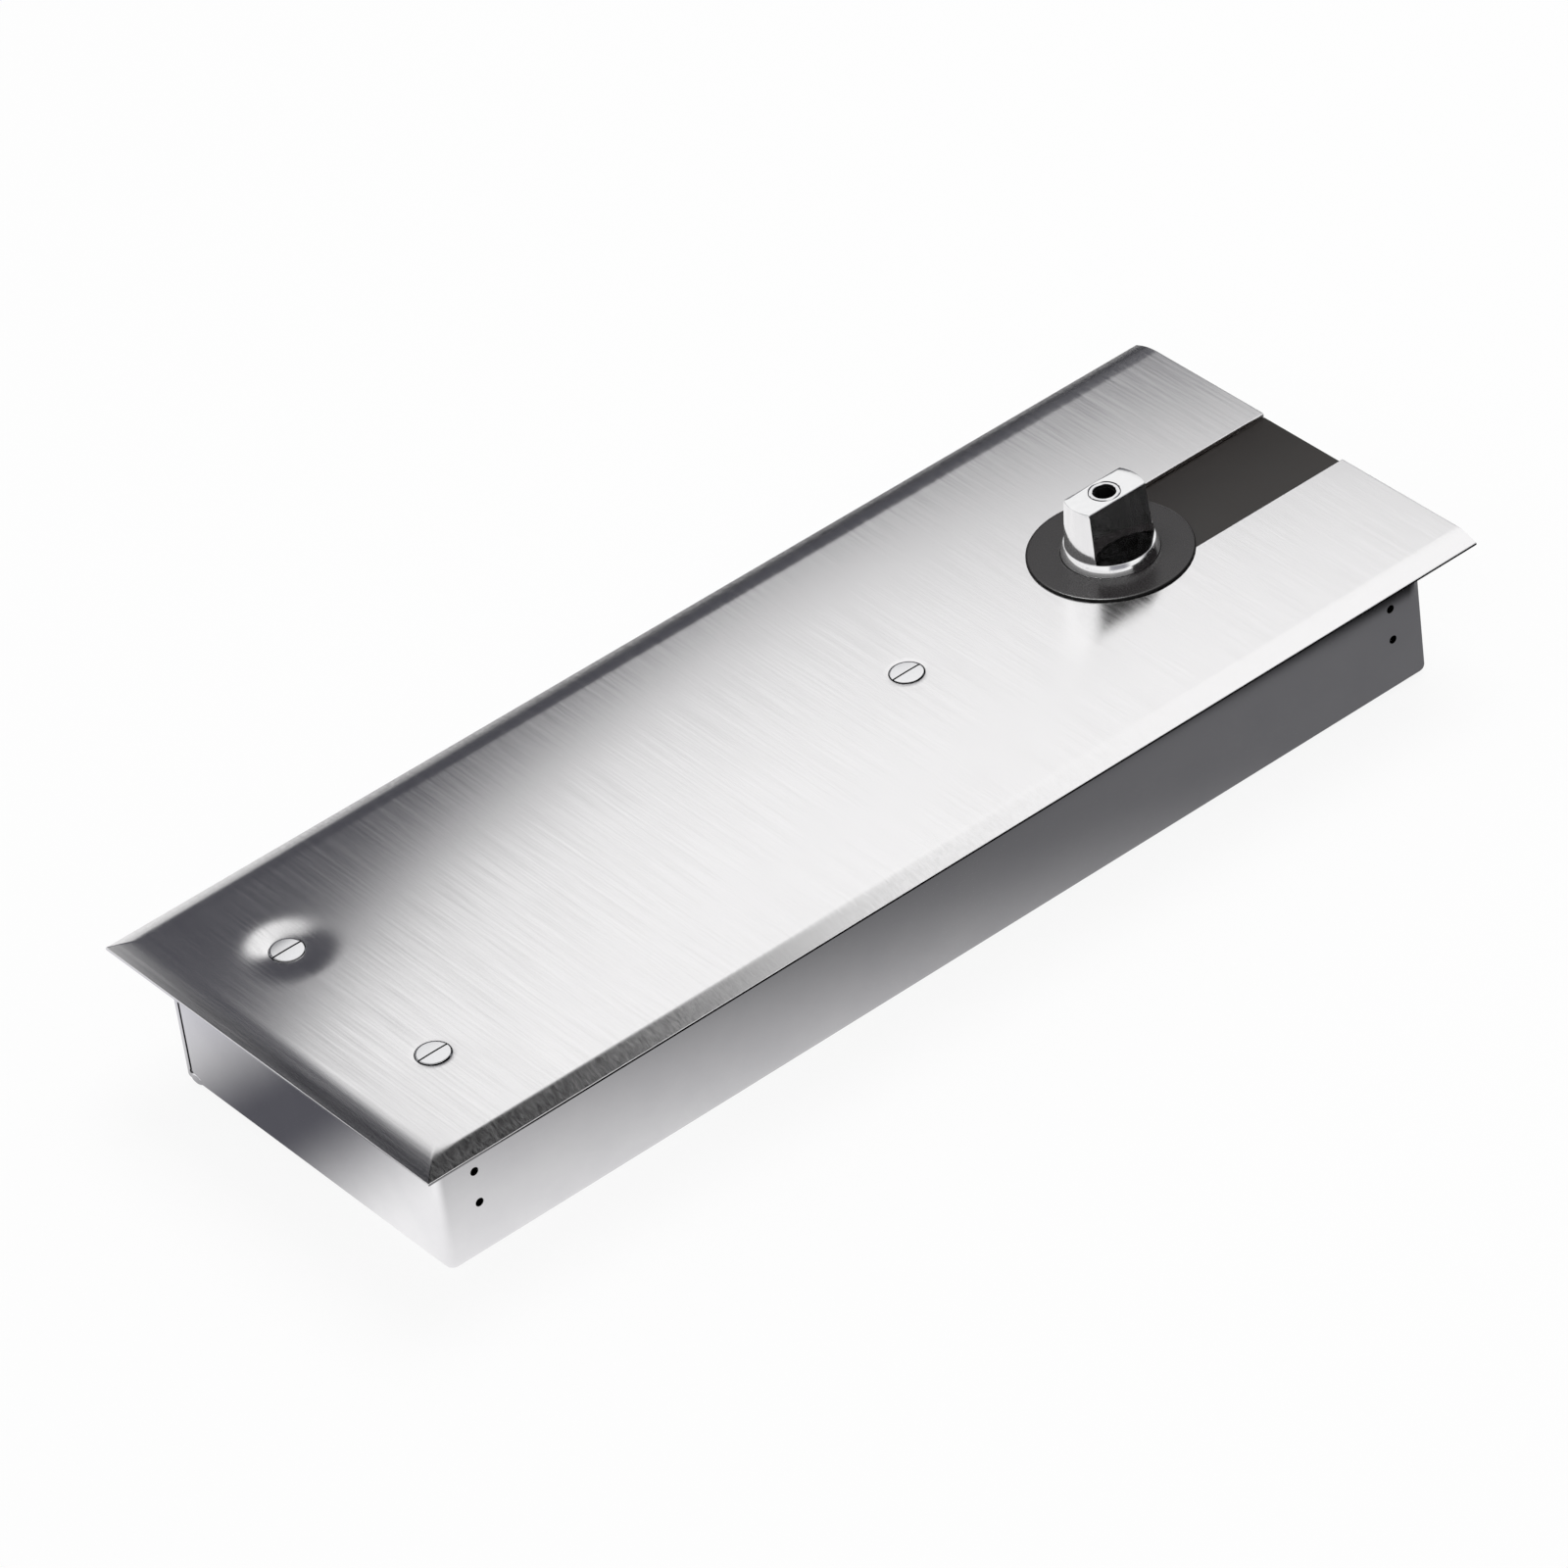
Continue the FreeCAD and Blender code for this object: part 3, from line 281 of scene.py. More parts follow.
# ---------------------------------------------------------------- surfaces
@dataclass
class Surface:
    """Patches of one closed surface: grids of points and the quads between them."""

    points: list[np.ndarray] = field(default_factory=list)
    quads: list[np.ndarray] = field(default_factory=list)
    count: int = 0

    def add_points(self, grid: np.ndarray) -> np.ndarray:
        """Takes a grid of points and returns the grid of their numbers.

        Args:
            grid: rows x columns x 3, in millimetres.

        Returns:
            rows x columns of vertex numbers.
        """
        rows, columns = grid.shape[:2]
        numbers = self.count + np.arange(rows * columns).reshape(rows, columns)
        self.points.append(grid.reshape(-1, 3))
        self.count += rows * columns
        return numbers

    def skin(self, numbers: np.ndarray, keep: np.ndarray | None = None) -> None:
        """Spans a grid of vertex numbers with quads.

        Args:
            numbers: rows x columns of vertex numbers.
            keep: which cells get a quad; all of them if left out.
        """
        corners = (numbers[:-1, :-1], numbers[1:, :-1], numbers[1:, 1:], numbers[:-1, 1:])
        cells = np.stack(corners, axis=-1)
        self.quads.append(cells.reshape(-1, 4) if keep is None else cells[keep])

    def wall(self, top: np.ndarray, bottom: np.ndarray, keep: np.ndarray) -> None:
        """Joins two matching skins all round each place where kept cells end.

        Args:
            top: vertex numbers of one skin.
            bottom: vertex numbers of the other skin.
            keep: which cells both skins have.
        """
        padded = np.pad(keep, 1)
        self.join(top, bottom, padded[1:, 1:-1] != padded[:-1, 1:-1], (0, 1))
        self.join(top, bottom, padded[1:-1, 1:] != padded[1:-1, :-1], (1, 0))

    def join(self, top: np.ndarray, bottom: np.ndarray, edges: np.ndarray, step: tuple[int, int]) -> None:
        """Joins two matching skins by a quad at each marked edge of their grid.

        Args:
            top: vertex numbers of one skin.
            bottom: vertex numbers of the other skin.
            edges: marks the edges, by the row and column at which they start.
            step: rows and columns from an edge's start to its end.
        """
        row, column = np.nonzero(edges)
        end = (row + step[0], column + step[1])
        self.quads.append(np.stack([top[row, column], top[end], bottom[end], bottom[row, column]], axis=-1))

    def sheet(self, grid: np.ndarray) -> "Surface":
        """Adds a grid of points, spans all of it and returns the surface."""
        self.skin(self.add_points(grid))
        return self

    def build(self, name: str, finish: Finish, crease_degrees: float = SOFT_CREASE) -> bpy.types.Object:
        """Makes the surface an object: doubles merged, faces outward, shaded smooth up to a crease.

        Args:
            name: the object's name.
            finish: what it is made of.
            crease_degrees: edges sharper than this stay sharp.

        Returns:
            The new object, at the origin, with its place in its mesh.
        """
        points = np.concatenate(self.points) * MM
        quads = np.concatenate(self.quads)
        mesh = bpy.data.meshes.new(name)
        mesh.from_pydata(points.tolist(), [], quads.tolist())
        clean = bmesh.new()
        clean.from_mesh(mesh)
        bmesh.ops.remove_doubles(clean, verts=clean.verts, dist=DOUBLES_M)
        bmesh.ops.dissolve_degenerate(clean, edges=clean.edges, dist=SLIVERS_M)
        bmesh.ops.recalc_face_normals(clean, faces=clean.faces)
        open_edges = sum(1 for edge in clean.edges if not edge.is_manifold)
        clean.to_mesh(mesh)
        clean.free()
        mesh.polygons.foreach_set("use_smooth", np.ones(len(mesh.polygons), dtype=bool))
        mesh.set_sharp_from_angle(angle=math.radians(crease_degrees))
        add_grain_map(mesh)
        mesh.materials.append(finish.material())
        built = bpy.data.objects.new(name, mesh)
        bpy.context.scene.collection.objects.link(built)
        LOG.info("%s: %d faces, %d open edges", name, len(mesh.polygons), open_edges)
        return built


def vertex_places(mesh: bpy.types.Mesh) -> np.ndarray:
    """Returns a mesh's vertices as rows of X, Y and Z in metres."""
    places = np.empty(len(mesh.vertices) * 3)
    mesh.vertices.foreach_get("co", places)
    return places.reshape(-1, 3)


def add_grain_map(mesh: bpy.types.Mesh, height_share: float = 0.3) -> None:
    """Gives a mesh a flat UV map, which sets its tangent: U is X, and V is Y plus a share of Z.

    Args:
        mesh: the mesh, in metres.
        height_share: share of Z in V, which keeps upright faces from having no width in V.
    """
    corner = np.empty(len(mesh.loops), dtype=int)
    mesh.loops.foreach_get("vertex_index", corner)
    place = vertex_places(mesh)[corner]
    layer = mesh.uv_layers.new(name=UV_NAME)
    flat = np.stack([place[:, 0], place[:, 1] + height_share * place[:, 2]], axis=-1)
    layer.data.foreach_set("uv", flat.ravel())


def paint(piece: bpy.types.Object, finish: Finish, chosen: Callable[[np.ndarray], np.ndarray]) -> None:
    """Gives the chosen faces of a piece a second finish.

    Args:
        piece: the object.
        finish: the finish of those faces.
        chosen: takes the faces' centres in millimetres and returns which get the finish.
    """
    mesh = piece.data
    centres = np.empty(len(mesh.polygons) * 3)
    mesh.polygons.foreach_get("center", centres)
    index = np.empty(len(mesh.polygons), dtype=np.int32)
    mesh.polygons.foreach_get("material_index", index)
    mesh.materials.append(finish.material())
    index[chosen(centres.reshape(-1, 3) / MM)] = len(mesh.materials) - 1
    mesh.polygons.foreach_set("material_index", index)


def stops(*marks: tuple[float, int]) -> np.ndarray:
    """Returns grid lines: each mark is a place and the number of steps that lead to it.

    Args:
        marks: (place, steps from the mark before), the first with 0 steps.

    Returns:
        The lines in rising order.
    """
    lines = [np.array([marks[0][0]])]
    for (start, _), (end, steps) in zip(marks[:-1], marks[1:]):
        lines.append(np.linspace(start, end, steps + 1)[1:])
    return np.concatenate(lines)


def even_turn(radius: float, steps: int) -> np.ndarray:
    """Returns lines across a hole, spaced as the tangent of even angles from -45 to 45 degrees."""
    return radius * np.tan(np.linspace(-math.pi / 4, math.pi / 4, steps + 1))


def full_turn(steps: int) -> np.ndarray:
    """Returns the angles of a full turn in even steps, with both its ends."""
    return np.linspace(0.0, 2.0 * math.pi, steps + 1)


def reach_from(points: np.ndarray, centre: np.ndarray | tuple[float, float]) -> np.ndarray:
    """Returns the distance of each point from an upright axis."""
    return np.hypot(points[:, 0] - centre[0], points[:, 1] - centre[1])


def merge_lines(*parts: np.ndarray) -> np.ndarray:
    """Returns all the given lines in rising order, each once."""
    lines = np.sort(np.concatenate(parts))
    return lines[np.append(True, np.diff(lines) > SAME_LINE_MM)]


def smooth_step(value: np.ndarray, low: float, high: float) -> np.ndarray:
    """Returns 0 below low, 1 above high and the cubic 3t^2 - 2t^3 between them."""
    t = np.clip((value - low) / (high - low), 0.0, 1.0)
    return t * t * (3.0 - 2.0 * t)


def round_off(depth: np.ndarray, radius: float) -> np.ndarray:
    """Returns how far an edge of that radius has fallen at a depth in from the edge.

    It is the gap between the edge's corner line and a quarter circle: r - sqrt(r^2 - (r - d)^2).

    Args:
        depth: distance in from the edge.
        radius: the edge's radius.
    """
    inside = np.clip(radius - depth, 0.0, radius)
    return radius - np.sqrt(radius ** 2 - inside ** 2)


def bend_to_circle(a: np.ndarray, b: np.ndarray, centre: tuple[float, float], inner: float,
                   outer: float, straight_side: bool = False) -> tuple[np.ndarray, np.ndarray]:
    """Moves grid points round a hole, so that the square of half-side inner becomes a circle.

    With s the larger of |a| and |b| from the centre, a point at s times a unit square goes to
    s times the unit circle in the same direction. The move fades out from inner to outer.

    Args:
        a: first coordinates.
        b: second coordinates.
        centre: the hole's centre.
        inner: the hole's radius.
        outer: half-side of the square that the move stays inside.
        straight_side: leaves the side of rising a straight, which makes a slot's round end.

    Returns:
        The moved coordinates.
    """
    da = a - centre[0]
    db = b - centre[1]
    bent = np.minimum(da, 0.0) if straight_side else da
    size = np.maximum(np.maximum(np.abs(bent), np.abs(db)), TINY)
    reach = np.hypot(bent, db)
    share = (1.0 - smooth_step(size, inner, outer)) * (size > inner * JUST_INSIDE)
    factor = 1.0 + share * (size / np.maximum(reach, TINY) - 1.0)
    return a + bent * (factor - 1.0), b + db * (factor - 1.0)


def turn_rings(rows: Iterable[tuple[np.ndarray | float, float]], turn: np.ndarray,
               centre: np.ndarray | tuple[float, float]) -> np.ndarray:
    """Stacks rings about an upright axis: x = cx + r cos t, y = cy + r sin t, each at its height.

    Args:
        rows: (radius, height) of each ring. A radius may be an array that varies with the turn.
        turn: the angles round a ring.
        centre: the axis in X and Y.

    Returns:
        The grid of points, a row for each ring.
    """
    rings = []
    for radius, height in rows:
        x = centre[0] + radius * np.cos(turn)
        y = centre[1] + radius * np.sin(turn)
        rings.append(np.stack([x, y, np.full_like(turn, height)], axis=-1))
    return np.stack(rings)


def arc(centre: tuple[float, float], radius: float, start: float, end: float, steps: int) -> np.ndarray:
    """Returns points of an arc, from one angle in degrees to another."""
    angle = np.radians(np.linspace(start, end, steps + 1))
    return np.stack([centre[0] + radius * np.cos(angle), centre[1] + radius * np.sin(angle)], axis=-1)


def corner_mm(node: str) -> tuple[np.ndarray, np.ndarray]:
    """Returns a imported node's lowest and highest corners in millimetres."""
    low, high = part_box(node)
    return np.array(low) / MM, np.array(high) / MM


def middle_mm(node: str) -> np.ndarray:
    """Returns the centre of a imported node's box in millimetres."""
    low, high = corner_mm(node)
    return (low + high) / 2


def top_mm(node: str) -> float:
    """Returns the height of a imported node's top in millimetres."""
    return corner_mm(node)[1][2]


def mount(piece: bpy.types.Object, body: str, slot: str, *nodes: str) -> None:
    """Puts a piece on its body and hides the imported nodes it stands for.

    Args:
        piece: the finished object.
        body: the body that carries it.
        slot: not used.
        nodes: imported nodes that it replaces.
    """
    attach(piece, body)
    for node in nodes:
        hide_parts(node)
    LOG.info("%s rides on %s", piece.name, body)


# ---------------------------------------------------------------- cover plate and its screws
@dataclass
class CoverPlate:
    """The stainless cover: a flat with a sloping rim, dished at its screws, with the spindle's slot."""

    bevel_run: float = 5.0
    bevel_drop: float = 1.8
    near_crease: float = 1.1
    far_crease: float = 3.5
    end_crease: float = 3.0
    rim: float = 0.65
    rim_reach: float = 11.0
    lip: float = 0.3
    lip_margin: float = 0.2
    edge_round: float = 0.1
    near_blend: float = 8.0
    far_blend: float = 4.0
    thickness: float = 1.5
    hole: float = 4.42
    hole_lines: tuple[float, float] = (0.12, 0.25)
    hole_round: float = 0.2
    dish_reach: float = 15.0
    dish_depths: tuple[float, float, float] = (0.04, 0.75, 0.02)
    slot_half: float = 14.5
    slot_round: float = 0.15
    slot_lines: tuple[float, float] = (0.1, 0.2)
    slot_blend: float = 20.0

    def __post_init__(self) -> None:
        """Takes the plate's box, the spindle's axis and the screws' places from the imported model."""
        self.half_x, self.half_y, self.top = corner_mm("cover_plate")[1]
        self.spindle_x = middle_mm("rosette")[0]
        self.screws = screw_places()

    def lines(self) -> tuple[np.ndarray, np.ndarray]:
        """Returns the grid lines along X and Y, dense at the rim, the dishes and the slot."""
        rim = stops((0.0, 0), (self.edge_round, 4), (self.lip + self.lip_margin, 1),
                    (self.bevel_run - self.far_crease, 3), (self.bevel_run + self.far_crease, 20),
                    (self.rim_reach, 3))
        ring = np.concatenate([even_turn(self.hole, 12), self.hole + np.array(self.hole_lines)])
        outward = stops((self.hole + self.hole_lines[1], 0), (self.dish_reach, 8))
        ring = merge_lines(ring, -ring, outward, -outward)
        slot_x = merge_lines(self.spindle_x - stops((0.0, 0), (self.slot_half, 12)),
                             self.spindle_x - stops((self.slot_half + self.slot_round, 0),
                                                      (self.slot_blend, 4)))
        slot_y = stops((self.slot_half, 0), *((self.slot_half + out, 1) for out in self.slot_lines))
        end_x = self.screws[0][0]
        middle_x = self.screws[2][0]
        side_y = abs(self.screws[0][1])
        reach = self.dish_reach
        x_lines = merge_lines(
            -self.half_x + rim, self.half_x - rim, end_x + ring, middle_x + ring, slot_x,
            stops((-self.half_x + rim[-1], 0), (end_x - reach, 3)),
            stops((end_x + reach, 0), (middle_x - reach, 30)),
            stops((middle_x + reach, 0), (self.spindle_x - self.slot_blend, 8)),
            stops((self.spindle_x, 0), (self.half_x - rim[-1], 14)))
        y_half = merge_lines(ring[ring >= 0], stops((reach, 0), (self.slot_half, 3)), slot_y,
                             side_y + ring, stops((side_y + reach, 0), (self.half_y - rim[-1], 4)),
                             self.half_y - rim)
        return x_lines, merge_lines(y_half, -y_half)

    def surface(self) -> Surface:
        """Makes the plate as two skins over one grid, joined round the rim, the slot and the holes.

        The top falls from its flat by three terms: a slope towards three of the four edges that
        is linear in the distance from the edge with a rounded crease, a dish at each screw that
        goes with the cube of the distance inside its rim, and a small quarter round at
        every cut edge. The spindle's end is cut off square, with no slope.
        """
        x_lines, y_lines = self.lines()
        x, y = np.meshgrid(x_lines, y_lines, indexing="ij")
        mid_x = (x[1:, 1:] + x[:-1, :-1]) / 2
        mid_y = (y[1:, 1:] + y[:-1, :-1]) / 2
        keep = ~((mid_x > self.spindle_x - self.slot_half) & (np.abs(mid_y) < self.slot_half))
        for cx, cy in self.screws:
            keep &= np.maximum(np.abs(mid_x - cx), np.abs(mid_y - cy)) > self.hole
            x, y = bend_to_circle(x, y, (cx, cy), self.hole, self.dish_reach)
        x, y = bend_to_circle(x, y, (self.spindle_x, 0.0), self.slot_half, self.slot_blend,
                              straight_side=True)
        edge = np.minimum(self.half_x + x, self.half_y - np.abs(y))
        # Above 0 where the near rim is the closest, and where the far one is closer than the end's.
        beside = np.minimum(self.half_x + x, self.half_y - y) - (self.half_y + y)
        behind = self.half_x + x + y - self.half_y
        to_near = smooth_step(beside, 0.0, self.near_blend)
        to_far = smooth_step(behind, -self.far_blend, self.far_blend)
        crease = self.end_crease + (self.near_crease - self.end_crease) * to_near
        crease += (self.far_crease - self.end_crease) * to_far
        cut = np.minimum(edge, self.half_x - x)
        top = self.top - self.rim_fall(edge, crease) - round_off(cut, self.edge_round)
        for (cx, cy), depth in zip(self.screws, self.dish_depths):
            away = np.hypot(x - cx, y - cy)
            inward = np.clip((self.dish_reach - away) / (self.dish_reach - self.hole), 0.0, 1.0)
            top -= depth * inward ** 3
            top -= np.where(away >= self.hole - HAIR_MM, round_off(away - self.hole, self.hole_round), 0.0)
        slot_away = np.hypot(np.minimum(x - self.spindle_x, 0.0), y) - self.slot_half
        top -= np.where(slot_away > -HAIR_MM, round_off(slot_away, self.slot_round), 0.0)
        foot = self.top - self.bevel_drop - self.rim
        under = self.top - self.thickness
        slope = np.clip((edge - self.lip) / (self.bevel_run - self.lip), 0.0, 1.0)
        bottom = foot + (under - foot) * slope
        made = Surface()
        top_numbers = made.add_points(np.stack([x, y, top], axis=-1))
        bottom_numbers = made.add_points(np.stack([x, y, bottom], axis=-1))
        made.skin(top_numbers, keep)
        made.skin(bottom_numbers, keep)
        made.wall(top_numbers, bottom_numbers, keep)
        return made

    def rim_fall(self, edge: np.ndarray, crease: np.ndarray) -> np.ndarray:
        """Returns the rim's fall.

        It is a straight slope outside the crease, nothing inside it and a parabola between.

        Args:
            edge: distance in from the plate's edge.
            crease: half-width of the bend between the flat and the slope.
        """
        slope = self.bevel_drop / self.bevel_run
        outside = self.bevel_run - edge
        bent = slope * (outside + crease) ** 2 / (4.0 * crease)
        return np.where(outside > crease, slope * outside, np.where(outside < -crease, 0.0, bent))

    def in_hole(self, centres: np.ndarray) -> np.ndarray:
        """Returns which face centres lie on the wall of a screw hole."""
        chosen = np.zeros(len(centres), dtype=bool)
        for screw in self.screws:
            chosen |= reach_from(centres, screw) < self.hole + 2 * HAIR_MM
        return chosen

    def build(self) -> None:
        """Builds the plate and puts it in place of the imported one."""
        plate = self.surface().build("cover_sheet", BRUSHED_STAINLESS, crease_degrees=40.0)
        # The screw holes' walls get painted shade.
        paint(plate, RECESS_SHADE, self.in_hole)
        mount(plate, "case", "cover_steel", "cover_plate")


def screw_places() -> list[tuple[float, float]]:
    """Returns the cover screws' centres: the end pair, near side first, and the middle one."""
    place = vertex_places(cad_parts["cover_screws"].data) / MM
    groups = (
        (place[:, 0] < 0) & (place[:, 1] < 0),
        (place[:, 0] < 0) & (place[:, 1] > 0),
        place[:, 0] > 0,
    )
    centres = []
    for group in groups:
        low = place[group].min(axis=0)
        high = place[group].max(axis=0)
        centres.append((float(low[0] + high[0]) / 2, float(low[1] + high[1]) / 2))
    return centres


@dataclass
class CoverScrews:
    """Slotted oval-head screws that hold the cover.

    Each sits a little to one side in its hole, and the one in the deep dish is askew.
    """

    head: float = 4.2
    dome: float = 0.07
    rim: float = 0.12
    rim_round: float = 0.08
    cone: float = 2.1
    shank: float = 2.5
    length: float = 6.5
    tip: float = 0.3
    slot: float = 0.5
    slot_depth: float = 1.1
    proud: float = 0.2
    tilts: tuple[float, float, float] = (0.0, 0.045, 0.0)
    shift: float = 0.1
    margin: float = 0.5
    steps: int = 64

    def profile(self, rim_z: float) -> np.ndarray:
        """Returns (radius, height) from the pole on top, over the rim and the cone, to the pole below.

        The dome is a parabola: its height falls with the square of the radius.

        Args:
            rim_z: height of the head's rim.
        """
        radius = np.linspace(0.0, self.head - self.rim_round, 12)
        dome = np.stack([radius, rim_z + self.dome * (1.0 - (radius / self.head) ** 2)], axis=-1)
        edge = arc((self.head - self.rim_round, rim_z - self.rim_round), self.rim_round, 60.0, 0.0, 3)
        cone_top = rim_z - self.rim - self.rim_round
        below = np.array([
            [self.head, cone_top],
            [self.shank, cone_top - self.cone],
            [self.shank, rim_z - self.length + self.tip],
            [self.shank - self.tip, rim_z - self.length],
            [0.0, rim_z - self.length],
        ])
        return np.concatenate([dome, edge, below])

    def build(self) -> None:
        """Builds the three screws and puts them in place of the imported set.

        Each is turned, sheared by its tilt, and then gets its slot.
        """
        turned = Surface()
        cutter = Surface()
        half = (self.head + 1.0, self.slot / 2, self.slot_depth)
        for cx, cy, rim_z, tilt in self.seats():
            head = turn_rings(self.profile(rim_z), full_turn(self.steps), (cx, cy))
            head[..., 2] += tilt * (head[..., 1] - cy)
            head[..., 1] += self.shift
            turned.sheet(head)
            cutter_box(cutter, (cx, cy + self.shift, rim_z + self.dome), half)
        screws = turned.build("cover_screw_set", POLISHED_STEEL)
        cut_from(screws, cutter)
        # The slots and the heads' undersides get painted shade.
        paint(screws, RECESS_SHADE, self.in_recess)
        mount(screws, "case", "plated_steel", "cover_screws")

    def seats(self) -> list[tuple[float, float, float, float]]:
        """Returns the centre of each screw in X and Y, the height of its head's rim and its tilt."""
        lift = top_mm("cover_plate")
        places = zip(screw_places(), CoverPlate.dish_depths, self.tilts)
        return [(cx, cy, lift - dish + self.proud, tilt) for (cx, cy), dish, tilt in places]

    def in_recess(self, centres: np.ndarray) -> np.ndarray:
        """Returns which face centres lie in a slot, or below the head's rim."""
        chosen = np.zeros(len(centres), dtype=bool)
        for cx, cy, rim_z, tilt in self.seats():
            here = reach_from(centres, (cx, cy)) < self.head + self.margin
            in_slot = np.abs(centres[:, 1] - cy - self.shift) < self.slot / 2 + HAIR_MM
            below = centres[:, 2] - tilt * (centres[:, 1] - cy) < rim_z - self.rim_round
            chosen |= here & (in_slot | below)
        return chosen


def cutter_box(surface: Surface, centre: tuple[float, float, float],
               half: tuple[float, float, float]) -> None:
    """Adds a box to a surface, as four sides swept round and two ends.

    Args:
        surface: the surface that gets the box.
        centre: its centre.
        half: its half sizes.
    """
    across = np.array([-1.0, 1.0, 1.0, -1.0, -1.0]) * half[1]
    upward = np.array([-1.0, -1.0, 1.0, 1.0, -1.0]) * half[2]
    rows = []
    for share, shrink in ((-1.0, 0.0), (-1.0, 1.0), (1.0, 1.0), (1.0, 0.0)):
        along = np.full(5, centre[0] + share * half[0])
        rows.append(np.stack([along, centre[1] + shrink * across, centre[2] + shrink * upward], axis=-1))
    surface.sheet(np.stack(rows))


def cut_from(piece: bpy.types.Object, cutter: Surface) -> None:
    """Cuts a closed surface out of a piece and keeps the result as the piece's mesh.

    Args:
        piece: the object that is cut.
        cutter: the closed surface to take away.
    """
    tool = cutter.build(piece.name + "_cutter", MOULDED_BLACK)
    modifier = piece.modifiers.new("cut", "BOOLEAN")
    modifier.operation = "DIFFERENCE"
    modifier.solver = "EXACT"
    modifier.object = tool
    bpy.context.view_layer.update()
    evaluated = piece.evaluated_get(bpy.context.evaluated_depsgraph_get())
    mesh = bpy.data.meshes.new_from_object(evaluated)
    piece.modifiers.clear()
    old = piece.data
    piece.data = mesh
    mesh.name = piece.name
    bpy.data.meshes.remove(old)
    bpy.data.objects.remove(tool)
    while len(mesh.materials) > 1:
        mesh.materials.pop(index=len(mesh.materials) - 1)
    mesh.polygons.foreach_set("material_index", np.zeros(len(mesh.polygons), dtype=np.int32))
    mesh.set_sharp_from_angle(angle=math.radians(SOFT_CREASE))


# ---------------------------------------------------------------- cement case
@dataclass
class CementCase:
    """The folded sheet case: four walls in one strip, butted at one corner, and a floor."""

    wall: float = 1.5
    corner: float = 2.5
    sharp_corner: float = 0.35
    foot: float = 1.9
    lip_round: float = 0.2
    lip_lines: tuple[float, float] = (0.6, 0.4)
    hole: float = 1.15
    hole_margin: float = 0.15
    hole_blend: float = 3.0
    hole_inset: float = 10.65
    hole_levels: tuple[float, float] = (15.2, 24.5)
    seam_inset: float = 1.5
    seam_gap: float = 0.8
    seam_foot: float = 3.1
    relief: float = 0.8
    relief_blend: float = 1.15
    relief_clear: float = 2.6
    spine: float = 100.0
    weld_half: tuple[float, float, float] = (0.28, 2.2, 1.3)
    weld_inset: float = 3.4
    weld_height: float = 1.9
    weld_sink: float = 0.02
    weld_waves: tuple[float, float] = (0.16, 0.1)

    def __post_init__(self) -> None:
        """Takes the case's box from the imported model."""
        self.half_x, self.half_y, self.height = corner_mm("case_shell")[1]

    def walk(self) -> tuple[np.ndarray, np.ndarray, np.ndarray]:
        """Returns the closed walk round the walls: side number, place on the side and turn in degrees.

        A side's place runs along it in the direction of the walk. A corner keeps the place of
        its side's end and turns through 90 degrees. The walk starts beside the seam.
        """
        seam = self.half_y - self.seam_inset - self.seam_gap
        seam_mid = seam + self.seam_gap / 2
        beside = seam_mid - self.relief_blend
        y_up = merge_lines(stops((-self.half_y + self.corner, 0), (beside, 44)),
                           seam_mid + even_turn(self.relief, 8),
                           np.array([seam, seam + self.seam_gap, seam_mid + self.relief_blend]))
        y_up = y_up[y_up < self.half_y - self.sharp_corner]
        hole_x = self.half_x - self.hole_inset
        hole = self.hole_lines()
        outward = stops((hole_x + self.hole_blend, 0), (self.half_x - self.corner, 3))
        x_up = merge_lines(stops((-hole_x + self.hole_blend, 0), (hole_x - self.hole_blend, 96)),
                           hole_x + hole, -hole_x + hole, outward, -outward)
        y_plain = np.linspace(-self.half_y + self.corner, self.half_y - self.corner, 41)
        turns = np.linspace(0.0, 90.0, 9)
        parts = []
        for side, line in enumerate((-y_up[::-1], x_up, y_plain, x_up)):
            parts.append((np.full(len(line), side), line, np.zeros(len(line))))
            parts.append((np.full(len(turns), side), np.full(len(turns), line[-1]), turns))
        side, place, turn = (np.concatenate(column) for column in zip(*parts))
        return side, place, turn

    def hole_lines(self) -> np.ndarray:
        """Returns grid lines across a hole, from one end of the blend round it to the other."""
        margin = self.hole + self.hole_margin
        return merge_lines(even_turn(self.hole, 8),
                           np.array([-self.hole_blend, -margin, margin, self.hole_blend]))

    def ring_at(self, inset: np.ndarray, place: np.ndarray, side: np.ndarray,
                turn: np.ndarray) -> np.ndarray:
        """Places points of the walk on the case's outline, moved inward.

        Each side is a line whose frame is (out, along). A corner's arc has the corner radius
        less the inset, about a centre that lies the larger of the two in from both sides.

        Args:
            inset: how far in from the outer face.
            place: place along each side.
            side: side number of each point.
            turn: turn in degrees, past the side's end.

        Returns:
            Points in X and Y.
        """
        out = np.array([[-1.0, 0.0], [0.0, -1.0], [1.0, 0.0], [0.0, 1.0]])
        along = np.roll(out, -1, axis=0)
        halves = np.array([self.half_x, self.half_y, self.half_x, self.half_y])
        half_out = halves[side]
        half_along = np.roll(halves, 1)[side]
        radii = np.array([self.corner, self.corner, self.corner, self.sharp_corner])
        radius = radii[side]
        centre = np.maximum(radius, inset)
        start_centre = np.maximum(np.roll(radii, 1)[side], inset)
        bend = np.maximum(radius - inset, 0.0)
        held = np.clip(place, -(half_along - start_centre), half_along - centre)
        held = np.where(turn > 0, half_along - centre, held)
        angle = np.radians(turn)
        reach_out = half_out - np.where(turn > 0, centre, inset)
        reach_out += np.where(turn > 0, bend * np.cos(angle), 0.0)
        reach_along = held + np.where(turn > 0, bend * np.sin(angle), 0.0)
        return out[side] * reach_out[..., None] + along[side] * reach_along[..., None]

